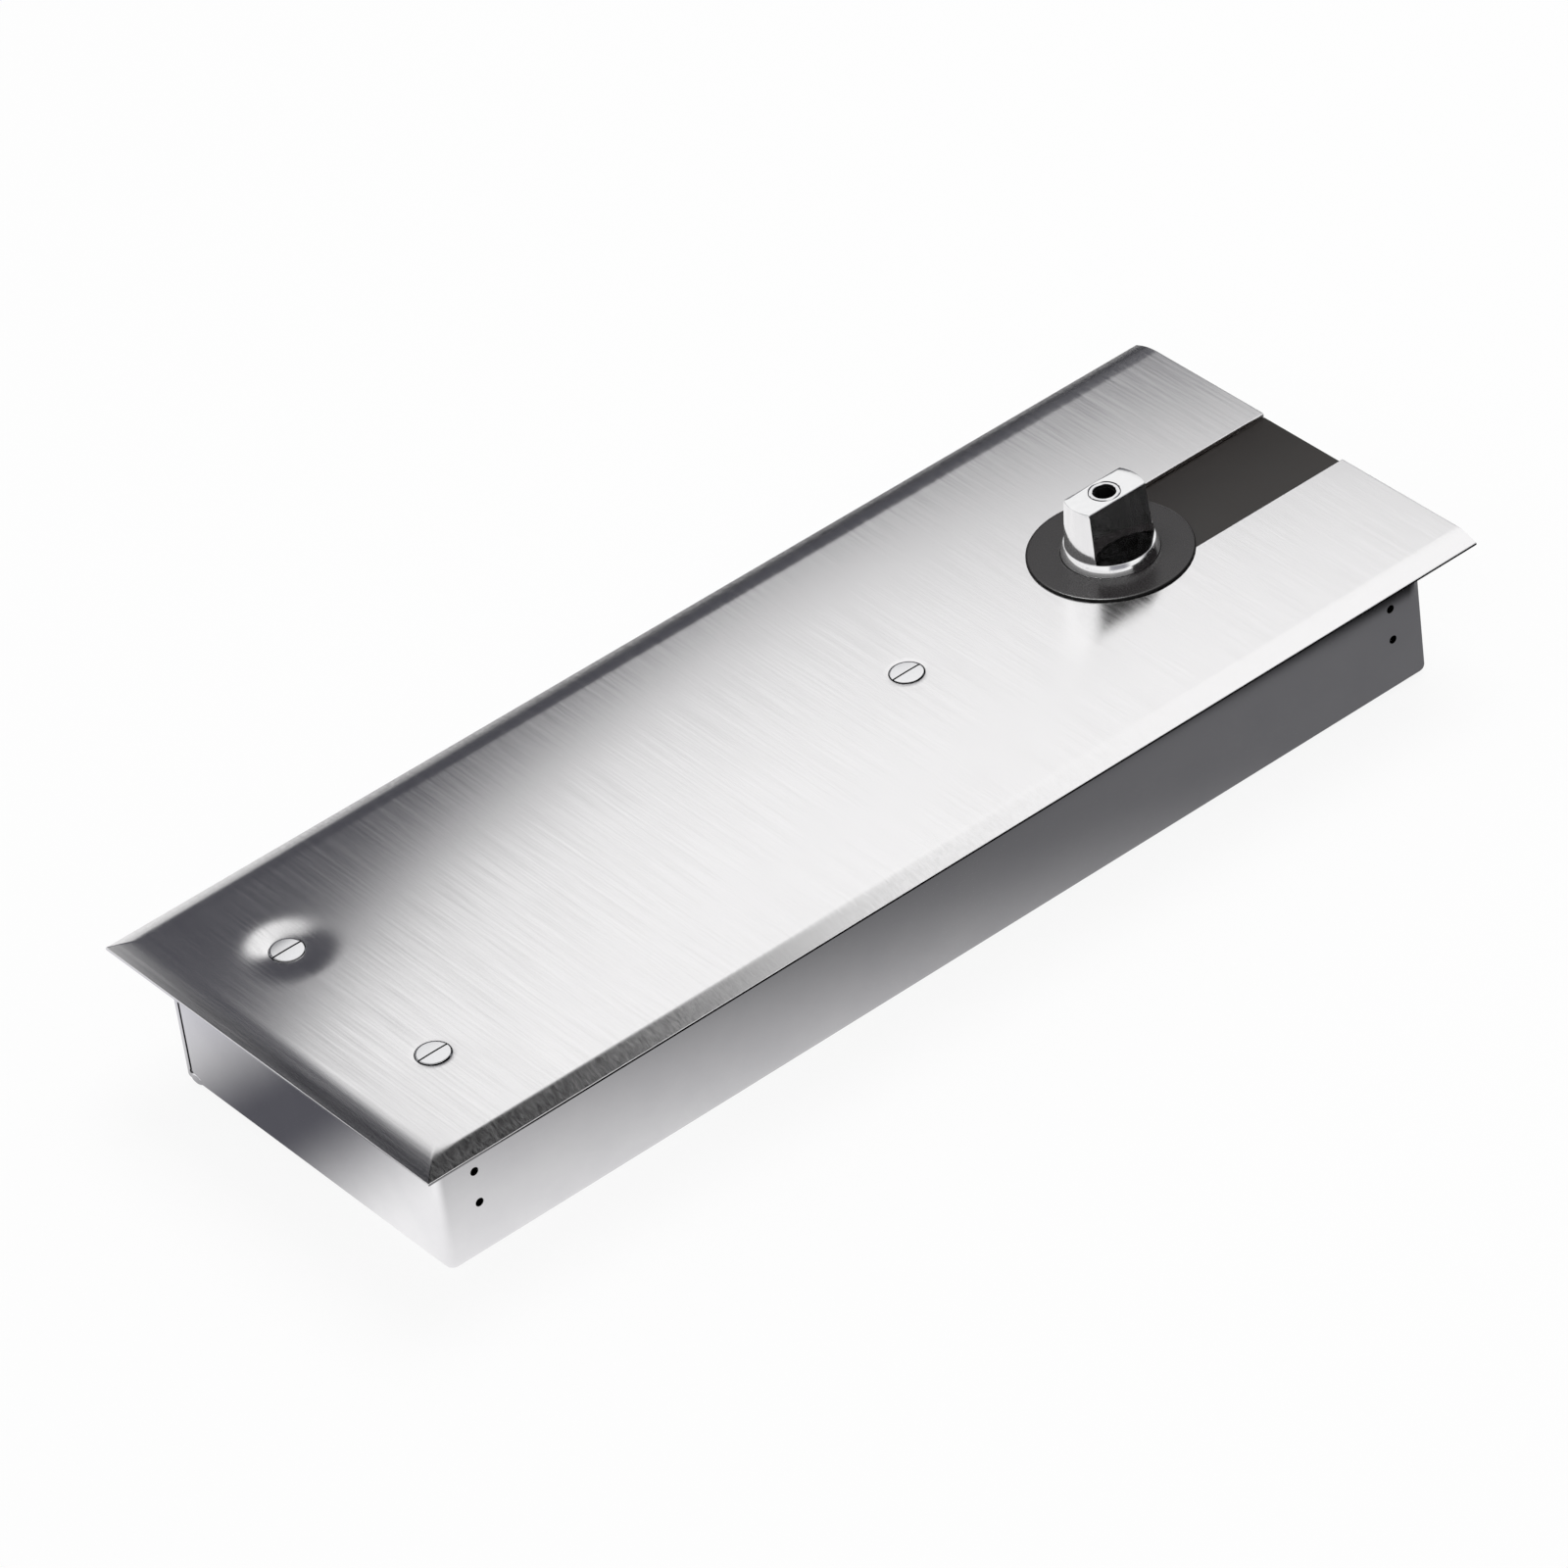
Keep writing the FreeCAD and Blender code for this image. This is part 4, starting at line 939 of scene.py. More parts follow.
    def section(self) -> tuple[np.ndarray, np.ndarray, np.ndarray, np.ndarray]:
        """Works out the wall's section, from the floor up.

        It is a quarter bend, z = r (1 - cos p) and inset = r (1 - sin p), with the foot's radius
        outside and that less the wall inside, and then the wall, with its lip rounded.

        Returns:
            Heights of the outer face, heights of the inner face, insets of both in that order.
        """
        clear = self.seam_foot + self.relief_clear
        rise = merge_lines(self.seam_foot + even_turn(self.relief, 8),
                           stops((self.seam_foot + self.relief, 0), (clear, 2)),
                           *(self.hole_lines() + level for level in self.hole_levels),
                           stops((clear, 0), (self.hole_levels[0] - self.hole_blend, 3)),
                           stops((self.hole_levels[1] + self.hole_blend, 0),
                                 (self.height - self.lip_lines[0], 5)),
                           self.height - np.array([self.lip_lines[1], self.lip_round,
                                                   self.lip_round / 2, 0.0]))
        rise = rise[rise > self.foot + SAME_LINE_MM]
        bend = np.radians(np.linspace(0.0, 90.0, 7)[:-1])
        phi = np.concatenate([bend, np.full(len(rise) + 1, math.pi / 2)])
        inner_bend = self.foot - self.wall
        height = np.concatenate([self.foot * (1.0 - np.cos(bend)), [self.foot], rise])
        inner_height = np.concatenate([self.foot - inner_bend * np.cos(bend), [self.foot], rise])
        lip = round_off(self.height - height, self.lip_round)
        outer_inset = self.foot * (1.0 - np.sin(phi)) + lip
        inner_inset = self.foot - inner_bend * np.sin(phi) - lip
        return height, inner_height, outer_inset, inner_inset

    def surface(self) -> Surface:
        """Makes the case as an outer and an inner skin over one grid, with a floor between them.

        The grid runs round the walk and up the section. Both skins share it, so the holes, the
        seam and its relief are left out of both.
        """
        side, place, turn = self.walk()
        height, inner_height, outer_inset, inner_inset = self.section()
        along, high = np.broadcast_arrays(place[:, None], height[None, :])
        sides = np.broadcast_to(side[:, None], along.shape)
        turns = np.broadcast_to(turn[:, None], along.shape)
        mid_along = (along[1:, 1:] + along[:-1, :-1]) / 2
        mid_high = (high[1:, 1:] + high[:-1, :-1]) / 2
        same_side = (side[1:] == side[:-1]) & (turn[1:] == 0)
        hole_x = self.half_x - self.hole_inset
        seam_y = -(self.half_y - self.seam_inset - self.seam_gap / 2)
        cutouts = [(number, cx, level, self.hole, self.hole_blend)
                   for number in (1, 3) for cx in (-hole_x, hole_x) for level in self.hole_levels]
        cutouts.append((0, seam_y, self.seam_foot, self.relief, self.relief_blend))
        in_seam = (np.abs(mid_along - seam_y) < self.seam_gap / 2) & (mid_high > self.seam_foot)
        keep = ~(in_seam & ((side[1:] == 0) & same_side)[:, None])
        for number, cx, level, radius, blend in cutouts:
            on_side = ((side[1:] == number) & same_side)[:, None]
            size = np.maximum(np.abs(mid_along - cx), np.abs(mid_high - level))
            keep &= ~(on_side & (size < radius))
            bent_along, bent_high = bend_to_circle(along, high, (cx, level), radius, blend)
            chosen = (sides == number) & (turns == 0)
            along = np.where(chosen, bent_along, along)
            high = np.where(chosen, bent_high, high)
        lifted = np.where(high == height[None, :], inner_height[None, :], high)
        grids = []
        for inset, level in ((outer_inset, high), (inner_inset, lifted)):
            outline = self.ring_at(np.broadcast_to(inset, along.shape), along, sides, turns)
            grid = np.concatenate([outline, level[..., None]], axis=-1)
            grids.append(np.concatenate([grid, grid[:1]]))
        keep = np.concatenate([keep, np.ones((1, keep.shape[1]), dtype=bool)])
        made = Surface()
        outer, inner = (made.add_points(grid) for grid in grids)
        made.skin(outer, keep)
        made.skin(inner, keep)
        self.wall_edges(made, outer, inner, keep)
        for grid in grids:
            made.sheet(self.floor_grid(grid[:, 0]))
        return made

    def wall_edges(self, made: Surface, outer: np.ndarray, inner: np.ndarray, keep: np.ndarray) -> None:
        """Joins the two skins at the top edge, in the holes and along the seam, but not at the floor.

        Args:
            made: the surface that gets the quads.
            outer: vertex numbers of the outer skin.
            inner: vertex numbers of the inner skin.
            keep: which cells both skins have.
        """
        ring = np.concatenate([keep[-1:], keep])
        made.join(outer, inner, ring[1:] != ring[:-1], (0, 1))
        tall = np.pad(keep, ((0, 0), (1, 1)), constant_values=((False, False), (True, False)))
        made.join(outer, inner, tall[:, 1:] != tall[:, :-1], (1, 0))

    def floor_grid(self, loop: np.ndarray) -> np.ndarray:
        """Draws a loop of points in to a straight spine: p(t) = (1 - t) loop + t nearest spine point.

        Args:
            loop: the loop's points.
        """
        spine = loop.copy()
        spine[:, 0] = np.clip(loop[:, 0], -self.spine, self.spine)
        spine[:, 1] = 0.0
        share = np.linspace(0.0, 1.0, 6)[None, :, None]
        return loop[:, None, :] * (1.0 - share) + spine[:, None, :] * share

    def weld(self) -> Surface:
        """Makes the spot of weld at the foot of the seam: a flattened bead with a rippled skin.

        It is a half ellipsoid on the end wall, its radius varied by two waves in the turn
        and the rise.
        """
        turn = full_turn(40)[:, None]
        rise = np.linspace(0.0, math.pi, 21)[None, :]
        slow, quick = self.weld_waves
        ripple = 1.0 + slow * np.sin(3.0 * turn + 1.0) * np.sin(rise)
        ripple += quick * np.sin(5.0 * turn) * np.sin(2 * rise)
        thick, wide, tall = self.weld_half
        out = thick * np.sin(rise) * np.cos(turn) * ripple
        y = self.half_y - self.weld_inset + wide * np.sin(rise) * np.sin(turn) * ripple
        z = self.weld_height + tall * np.cos(rise) * np.ones_like(turn)
        return Surface().sheet(np.stack([-self.half_x - out + self.weld_sink, y, z], axis=-1))

    def build(self) -> None:
        """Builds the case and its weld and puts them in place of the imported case."""
        case = self.surface().build("folded_case", PLATED_SHEET, crease_degrees=35.0)
        mount(case, "case", "case_steel", "case_shell")
        weld = self.weld().build("corner_weld", PLATED_SHEET)
        mount(weld, "case", "case_steel")


# ---------------------------------------------------------------- black trim
@dataclass
class BlackTrim:
    """The rosette round the collar and the strip that fills the slot behind it."""

    edge_round: tuple[float, float] = (0.7, 0.45)
    shade_edge_width: float = 0.28
    spread: float = 0.4
    bore_round: float = 0.2
    flat_margins: tuple[float, float] = (0.6, 0.4)
    foot_gap: float = 0.004
    foot_bevel: float = 0.05
    steps: int = 160
    hole: float = 12.4
    hub: float = 14.38
    strip_half: float = 14.35
    strip_sink: float = 1.15
    strip_round: float = 0.25
    hub_gap: float = 0.3
    end_gap: float = 0.1
    flange_half: float = 18.0
    flange_top: float = 39.78
    flange_foot: float = 39.3
    case_inner_x: float = 152.0

    def rosette(self) -> Surface:
        """Turns the rosette: a ring with a quarter ellipse as its edge, and a hub in the slot."""
        low, high = corner_mm("rosette")
        top = high[2]
        foot = top_mm("cover_plate") + self.foot_gap
        outer = min(high[0] - low[0], high[1] - low[1]) / 2 + self.spread
        bore = self.bore_round
        r, fall = self.edge_round
        inner, rim = self.flat_margins
        edge = np.array([outer - r, top - fall]) + arc((0.0, 0.0), 1.0, 90.0, 0.0, 12) * np.array([r, fall])
        profile = np.concatenate([
            arc((self.hole + bore, top - bore), bore, 180.0, 90.0, 4),
            np.stack([np.linspace(self.hole + inner, outer - r - rim, 8), np.full(8, top)], axis=-1),
            edge,
            np.array([[outer, foot + self.foot_bevel], [outer - self.foot_bevel, foot], [self.hub, foot],
                      [self.hub, low[2]], [self.hole, low[2]], [self.hole, top - bore]]),
        ])
        return Surface().sheet(turn_rings(profile, full_turn(self.steps), middle_mm("rosette")))

    def on_flank(self, centres: np.ndarray) -> np.ndarray:
        """Returns which face centres lie at the rosette's outer edge, which gets the painted edge shade."""
        low, high = corner_mm("rosette")
        outer = (high[0] - low[0]) / 2 + self.spread
        return reach_from(centres, middle_mm("rosette")) > outer - self.shade_edge_width

    def strip(self) -> Surface:
        """Carries the strip's cross-section along X, out to the plate's square end.

        The section is a bar with rounded upper edges on a wider, thinner flange that lies under
        the plate. Past the case's inner face the flange is drawn in to the bar.
        """
        plate = corner_mm("cover_plate")[1]
        top = plate[2] - self.strip_sink
        end = plate[0] - self.end_gap
        start = middle_mm("rosette")[0] + self.hub + self.hub_gap
        r = self.strip_round
        half = self.strip_half
        right = np.concatenate([
            np.array([[0.0, top]]),
            arc((half - r, top - r), r, 90.0, 0.0, 5),
            np.array([[half, self.flange_top], [self.flange_half, self.flange_top],
                      [self.flange_half, self.flange_foot], [0.0, self.flange_foot]]),
        ])
        section = np.concatenate([right, (right * np.array([-1.0, 1.0]))[::-1]])
        section[-1] = section[0]
        x = np.concatenate([[start, start], np.linspace(start, self.case_inner_x, 12)[1:],
                            [self.case_inner_x + HAIR_MM, end, end]])
        shrink = np.ones_like(x)
        shrink[[0, -1]] = 0.0
        past = (x > self.case_inner_x)[:, None]
        y = np.broadcast_to(section[:, 0], (len(x), len(section)))
        z = np.broadcast_to(section[:, 1], (len(x), len(section)))
        y = np.where(past, np.clip(y, -half, half), y)
        middle = (top + self.flange_foot) / 2
        y = y * shrink[:, None]
        z = middle + (z - middle) * shrink[:, None]
        return Surface().sheet(np.stack([np.broadcast_to(x[:, None], y.shape), y, z], axis=-1))

    def build(self) -> bpy.types.Object:
        """Builds both pieces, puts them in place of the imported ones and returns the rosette."""
        rosette = self.rosette().build("rosette_ring", MOULDED_BLACK, crease_degrees=50.0)
        # The flank and outer edge get painted shade, the dark line round the rim.
        paint(rosette, EDGE_SHADE_BLACK, self.on_flank)
        mount(rosette, "case", "black_plastic", "rosette")
        strip = self.strip().build("slot_strip_bar", EXTRUDED_BLACK, crease_degrees=30.0)
        mount(strip, "case", "black_plastic", "slot_strip")
        return rosette


# ---------------------------------------------------------------- spindle
@dataclass
class Spindle:
    """The exchangeable spindle insert, a flattened cone on a collar, and the screw that holds it."""

    collar: float = 12.3
    collar_lean: float = 0.85
    collar_round: float = 0.12
    collar_show: float = 2.5
    cone_foot: float = 11.3
    cone_top: float = 10.25
    flat_foot: float = 5.9
    flat_top: float = 4.7
    cone_height: float = 14.2
    edge_round: float = 0.15
    corner_round: float = 0.35
    hole: float = 4.05
    hole_bevel: float = 0.12
    screw_head: float = 3.86
    screw_round: float = 0.15
    mouth: float = 2.95
    mouth_bevel: float = 0.1
    head_depth: float = 6.0
    thread: float = 3.0
    thread_gap: float = 0.05
    thread_fit: float = 0.02
    screw_tip: float = 0.4
    seat_gap: float = 0.1
    foot_bevel: float = 0.3
    socket_flats: float = 5.2
    socket_depth: float = 4.5
    socket_lead: float = 0.9
    socket_cone: float = 0.6
    hexagon_fit: float = 0.97
    tail_half: float = 4.5
    tail_depth: float = 8.7
    steps: int = 120

    def __post_init__(self) -> None:
        """Takes the insert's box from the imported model."""
        low, high = corner_mm("spindle_insert")
        self.centre = middle_mm("spindle_insert")
        self.top = high[2]
        self.foot = low[2]
        self.collar_top = self.top - self.cone_height
        self.collar_foot = self.foot + self.tail_depth

    def outline(self, turn: np.ndarray, cone: np.ndarray, flat: np.ndarray) -> np.ndarray:
        """Returns the radius of a circle with two flats, their meeting edges rounded.

        The flat's radius is its half-width over |sin t|. A smooth minimum of it and the
        circle's radius, min(a, b) - h^2 / 4k with h = max(k - |a - b|, 0), rounds the edge.

        Args:
            turn: angle about the axis.
            cone: the circle's radius.
            flat: the flats' half-width.
        """
        across = flat / np.maximum(np.abs(np.sin(turn)), 1e-3)
        k = self.corner_round
        gap = np.maximum(k - np.abs(across - cone), 0.0)
        return np.minimum(across, cone) - gap ** 2 / (4.0 * k)

    def insert(self) -> Surface:
        """Makes the insert as rings, from the bore's foot up the outside and back down the bore."""
        edge = math.asin(self.flat_top / self.cone_top) + math.asin(self.flat_foot / self.cone_foot)
        edge /= 2
        dense = np.radians(np.linspace(-3.0, 3.0, 21))
        turn = merge_lines(full_turn(self.steps), edge + dense, math.pi - edge + dense,
                           math.pi + edge + dense, 2.0 * math.pi - edge + dense)
        square = self.tail_half / np.maximum(np.abs(np.cos(turn)), np.abs(np.sin(turn)))
        lip = self.collar - self.collar_lean - self.collar_round
        thread = self.thread + self.thread_gap
        rows = [
            (thread, self.foot),
            (square, self.foot),
            (square, self.collar_foot),
            (self.collar - self.foot_bevel, self.collar_foot),
            (self.collar, self.collar_foot + self.foot_bevel),
            (self.collar, self.collar_top - self.collar_show),
            *arc((lip, self.collar_top - self.collar_round), self.collar_round, 20.0, 90.0, 5),
        ]
        heights = np.linspace(self.edge_round, self.cone_height - self.edge_round, 12)
        for height in np.append(0.0, heights):
            share = height / self.cone_height
            cone = self.cone_foot + (self.cone_top - self.cone_foot) * share
            flat = self.flat_foot + (self.flat_top - self.flat_foot) * share
            rows.append((self.outline(turn, cone, flat), self.collar_top + height))
        for angle in np.radians([25.0, 50.0, 72.0, 90.0]):
            inset = self.edge_round * (1.0 - math.cos(angle))
            z = self.top - self.edge_round + self.edge_round * math.sin(angle)
            rows.append((self.outline(turn, self.cone_top - inset, self.flat_top - inset), z))
        full = self.outline(turn, self.cone_top - self.edge_round, self.flat_top - self.edge_round)
        mouth = self.hole + self.hole_bevel
        rows += [(mouth + (full - self.hole - self.hole_bevel) * share, self.top) for share in (0.66, 0.33)]
        seat = self.top - self.head_depth - self.seat_gap
        rows += [
            (mouth, self.top),
            (self.hole, self.top - self.hole_bevel),
            (self.hole, seat),
            (thread, seat),
            (thread, self.foot),
        ]
        return Surface().sheet(turn_rings(rows, turn, self.centre))

    def screw(self) -> Surface:
        """Makes the socket screw as rings: shank, head, a hexagon's radius in the socket, its floor.

        The hexagon's radius is half its flats over the cosine of the angle from the nearest flat.
        """
        low, high = corner_mm("insert_screw")
        turn = full_turn(96)
        sixth = math.pi / 3
        hexagon = self.socket_flats / 2 / np.cos((turn + sixth / 2) % sixth - sixth / 2)
        hexagon *= self.hexagon_fit
        top = high[2]
        head_foot = top - self.head_depth
        shank = self.thread - self.thread_fit
        rows = [
            (0.0, low[2]),
            (self.thread - self.screw_tip, low[2]),
            (shank, low[2] + self.screw_tip),
            (shank, head_foot),
            (self.screw_head, head_foot),
            (self.screw_head, top - self.screw_round),
            (self.screw_head - self.screw_round, top),
            (self.mouth + self.mouth_bevel, top),
            (self.mouth, top - self.mouth_bevel),
            (self.mouth, top - self.socket_lead),
            (hexagon, top - self.socket_lead),
            (hexagon, top - self.socket_depth),
            (0.0, top - self.socket_depth - self.socket_cone),
        ]
        return Surface().sheet(turn_rings(rows, turn, self.centre))

    def build(self) -> None:
        """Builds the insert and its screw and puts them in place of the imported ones."""
        insert = self.insert().build("spindle_cone", POLISHED_CONE, crease_degrees=38.0)
        bore_top = self.top - self.hole_bevel
        # The bore gets painted shade.
        paint(insert, RECESS_SHADE, lambda centres: self.within(centres, self.hole + 2 * HAIR_MM, bore_top))
        mount(insert, "spindle", "bright_steel", "spindle_insert")
        screw = self.screw().build("spindle_screw", POLISHED_STEEL, crease_degrees=38.0)
        socket_top = top_mm("insert_screw") - self.hole_bevel
        # The socket gets painted shade.
        paint(screw, RECESS_SHADE, lambda centres: self.within(centres, self.hole, socket_top))
        mount(screw, "spindle", "plated_steel", "insert_screw")

    def within(self, centres: np.ndarray, radius: float, height: float) -> np.ndarray:
        """Returns which face centres lie inside a radius about the axis and below a height."""
        return (reach_from(centres, self.centre) < radius) & (centres[:, 2] < height)


# ---------------------------------------------------------------- main spring
@dataclass
class MainSpring:
    """The compression spring in the bore, which shortens as the piston comes towards the end plug."""

    wire: float = 2.1
    coils: int = 15
    play: float = 0.05
    piston_travel: float = 12.04
    steps_a_coil: int = 36
    steps_around: int = 16

    def coil(self, start: float, end: float) -> Surface:
        """Carries a round wire along a helix about X, with both ends ground flat.

        A point is the centre line's plus the wire's radius, turned in the plane of X and the line's
        own radius; its X is then held between the two ends. A row drawn in to the line caps each end.

        Args:
            start: X of the end at the plug.
            end: X of the end at the piston.
        """
        low, high = corner_mm("main_spring")
        middle = middle_mm("main_spring")
        mean = (high[1] - low[1]) / 2 - self.wire
        turns = np.linspace(0.0, self.coils, self.steps_a_coil * self.coils + 1)
        turns = np.concatenate([turns[:1], turns, turns[-1:]])[:, None]
        wire = np.full_like(turns, self.wire)
        wire[[0, -1]] = 0.0
        around = full_turn(self.steps_around)[None, :]
        along = np.clip(start + (end - start) * turns / self.coils + wire * np.sin(around), start, end)
        radius = mean + wire * np.cos(around)
        angle = 2 * math.pi * turns
        return Surface().sheet(np.stack([along, middle[1] + radius * np.cos(angle),
                                         middle[2] + radius * np.sin(angle)], axis=-1))

    def build(self) -> None:
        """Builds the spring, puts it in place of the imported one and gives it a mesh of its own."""
        low, high = corner_mm("main_spring")
        start = low[0] + self.play
        end = high[0] - self.play
        spring = self.coil(start, end).build("main_spring_coil", SPRING_WIRE, crease_degrees=50.0)
        mount(spring, "case", "spring_steel", "main_spring")
        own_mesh(spring)


# ---------------------------------------------------------------- works inside the case
@dataclass
class HiddenWorks:
    """The closer's own works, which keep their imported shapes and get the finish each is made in.

    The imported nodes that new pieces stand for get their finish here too.
    """

    finishes: tuple[tuple[Finish, tuple[str, ...]], ...] = (
        (PAINTED_IRON, ("housing", "top_cap")),
        (ZINC_PLATE, ("support_bracket_plug_end", "support_bracket_spindle_end", "cover_bracket",
                      "cap_screws", "clamp_screws", "clamp_washers", "levelling_screws", "end_plug",
                      "oil_way_plug", "closing_valve", "latching_valve")),
        (GROUND_STEEL, ("spindle_shaft", "cam_key", "heart_cam", "cam_roller", "roller_pin", "piston",
                        "check_valve_seat", "bearing_inner_race", "bearing_outer_race")),
        (BEARING_STEEL, ("bearing_balls", "check_ball")),
        (SPRING_WIRE, ("main_spring",)),
        (SINTERED_BRONZE, ("lower_bush", "thrust_disc", "bearing_cage")),
        (NITRILE_RUBBER, ("shaft_seal", "end_plug_seal", "piston_seals", "closing_valve_seal",
                          "latching_valve_seal")),
        (BRUSHED_STAINLESS, ("cover_plate",)),
        (PLATED_SHEET, ("case_shell",)),
        (POLISHED_STEEL, ("cover_screws", "insert_screw")),
        (POLISHED_CONE, ("spindle_insert",)),
        (MOULDED_BLACK, ("rosette",)),
        (EXTRUDED_BLACK, ("slot_strip",)),
    )

    def dress(self) -> None:
        """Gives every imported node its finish."""
        dressed = set()
        for finish, nodes in self.finishes:
            for name in nodes:
                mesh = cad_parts[name].data
                if not mesh.materials:
                    mesh.materials.append(None)
                for slot in range(len(mesh.materials)):
                    mesh.materials[slot] = finish.material()
                dressed.add(name)
        missing = sorted(set(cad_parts) - dressed)
        LOG.info("%d packed nodes dressed, without a finish: %s", len(dressed), missing)


# ---------------------------------------------------------------- studio
QUAD = np.array([[-1.0, -1.0], [1.0, -1.0], [1.0, 1.0], [-1.0, 1.0]])


@dataclass(frozen=True)
class Patch:
    """A rounded rectangle on a card, in metres from the card's centre, with a soft edge."""

    centre: tuple[float, float]
    half: tuple[float, float]
    corner: float
    fade: float


class Mirrored(Enum):
    """Which reflections show a card: all, those seen directly, or only those seen in another one.

    The value is the comparison that Glossy Depth has to pass against Studio.second_mirror.
    """

    ALL = ""
    FIRST = "LESS_THAN"
    LATER = "GREATER_THAN"


@dataclass(frozen=True)
class Flag:
    """A card that only reflections see: in its colour inside its patch, and clear in its window."""

    name: str
    centre: tuple[float, float, float]
    across: tuple[float, float, float]
    upward: tuple[float, float, float]
    patch: Patch
    colour: str
    window: Patch | None = None
    mirrored: Mirrored = Mirrored.FIRST


@dataclass(frozen=True)
class Lamp:
    """A square soft lamp that faces the piece: its centre and side in metres, its power in watts."""

    name: str
    place: tuple[float, float, float]
    side: float
    power: float


@dataclass
class Studio:
    """The camera, the lamps, the pale floor and the cards round the piece."""

    flags: tuple[Flag, ...]
    lamps: tuple[Lamp, ...]
    edge_lamp: Lamp
    lens: float = 202.42
    sensor: float = 36.0
    azimuth: float = 235.244
    elevation: float = 37.62
    roll: float = 8.028
    distance: float = 2093.66
    aim: tuple[float, float, float] = (-14.677, -11.361, 41.3)
    floor_half: float = 6.0
    floor_drop: float = 0.0004
    floor_white: float = 0.88
    room_light: float = 0.55
    second_mirror: float = 1.5

    def camera(self) -> None:
        """Places the camera by azimuth, elevation and distance about the aim, turned by its roll."""
        azimuth = math.radians(self.azimuth)
        elevation = math.radians(self.elevation)
        back = Vector((math.cos(elevation) * math.cos(azimuth), math.cos(elevation) * math.sin(azimuth),
                       math.sin(elevation)))
        right = Vector((0.0, 0.0, 1.0)).cross(back).normalized()
        up = back.cross(right)
        turn = math.radians(self.roll)
        rolled_up = up * math.cos(turn) + right * math.sin(turn)
        rolled_right = rolled_up.cross(back)
        data = bpy.data.cameras.new("camera")
        data.lens = self.lens
        data.sensor_width = self.sensor
        camera = bpy.data.objects.new("camera", data)
        place = Vector(self.aim) * MM + back * (self.distance * MM)
        axes = Matrix((rolled_right, rolled_up, back)).transposed()
        camera.matrix_world = Matrix.Translation(place) @ axes.to_4x4()
        bpy.context.scene.collection.objects.link(camera)
        bpy.context.scene.camera = camera

    def world(self) -> None:
        """Makes the world white where it is seen or mirrored, and a plain soft light elsewhere."""
        world = bpy.data.worlds.new("studio_world")
        bpy.context.scene.world = world
        tree = blank_tree(world)
        seen = self.seen_or_mirrored(tree)
        light, white = (
            add_node(tree, "ShaderNodeBackground", Color=linear("ffffff"), Strength=strength).outputs[0]
            for strength in (self.room_light, 1.0))
        mix = add_node(tree, "ShaderNodeMixShader", i0=seen, i1=light, i2=white).outputs[0]
        add_node(tree, "ShaderNodeOutputWorld", Surface=mix)

    @staticmethod
    def seen_or_mirrored(tree: bpy.types.NodeTree) -> bpy.types.NodeSocket:
        """Returns 1 for rays from the camera, from gloss or through glass, and 0 for the rest."""
        path = add_node(tree, "ShaderNodeLightPath").outputs
        seen = path["Is Camera Ray"]
        for ray in ("Is Glossy Ray", "Is Transmission Ray"):
            seen = add_node(tree, "ShaderNodeMath", {"operation": "MAXIMUM"}, i0=seen,
                            i1=path[ray]).outputs[0]
        return seen

    def floor(self) -> None:
        """Lays the pale floor: mostly plain white where it is seen or mirrored, with its shadow left."""
        material = bpy.data.materials.new("pale_floor")
        tree = blank_tree(material)
        share = add_node(tree, "ShaderNodeMath", {"operation": "MULTIPLY"}, i0=self.seen_or_mirrored(tree),
                         i1=self.floor_white).outputs[0]
        matt = add_node(tree, "ShaderNodeBsdfDiffuse", Color=linear("f4f4f4")).outputs[0]
        white = add_node(tree, "ShaderNodeEmission", Color=linear("ffffff"), Strength=1.0).outputs[0]
        mix = add_node(tree, "ShaderNodeMixShader", i0=share, i1=matt, i2=white).outputs[0]
        add_node(tree, "ShaderNodeOutputMaterial", Surface=mix)
        corners = np.column_stack([QUAD * self.floor_half, np.full(len(QUAD), -self.floor_drop)])
        self.lay("studio_floor", corners, material)

    @staticmethod
    def lay(name: str, corners: np.ndarray, material: bpy.types.Material) -> bpy.types.Object:
        """Puts a flat quad on the stage.

        Args:
            name: the quad's name.
            corners: its four corners in metres.
            material: what it is made of.

        Returns:
            The quad.
        """
        mesh = bpy.data.meshes.new(name)
        mesh.from_pydata(corners.tolist(), [], [(0, 1, 2, 3)])
        mesh.materials.append(material)
        quad = bpy.data.objects.new(name, mesh)
        bpy.context.scene.collection.objects.link(quad)
        return quad

    @staticmethod
    def soft_patch(tree: bpy.types.NodeTree, place: bpy.types.NodeSocket,
                   patch: Patch) -> bpy.types.NodeSocket:
        """Returns 1 inside a patch and 0 outside, with a smooth step across its edge.

        The distance to the edge is |max(|p - centre| - half + corner, 0)| - corner.

        Args:
            tree: the card's node tree.
            place: the card's coordinates in metres from its centre.
            patch: the patch.
        """
        centre = (*patch.centre, 0.0)
        off_card = 1000.0
        inner = (patch.half[0] - patch.corner, patch.half[1] - patch.corner, off_card)
        zero = (0.0, 0.0, 0.0)
        vector = place
        for operation, operand in (("SUBTRACT", centre), ("ABSOLUTE", zero), ("SUBTRACT", inner),
                                   ("MAXIMUM", zero)):
            vector = add_node(tree, "ShaderNodeVectorMath", {"operation": operation}, i0=vector,
                              i1=operand).outputs[0]
        reach = add_node(tree, "ShaderNodeVectorMath", {"operation": "LENGTH"}, i0=vector).outputs["Value"]
        return add_node(tree, "ShaderNodeMapRange", {"interpolation_type": "SMOOTHSTEP"}, i0=reach,
                        i1=patch.corner + patch.fade / 2, i2=patch.corner - patch.fade / 2,
                        i3=0.0, i4=1.0).outputs[0]

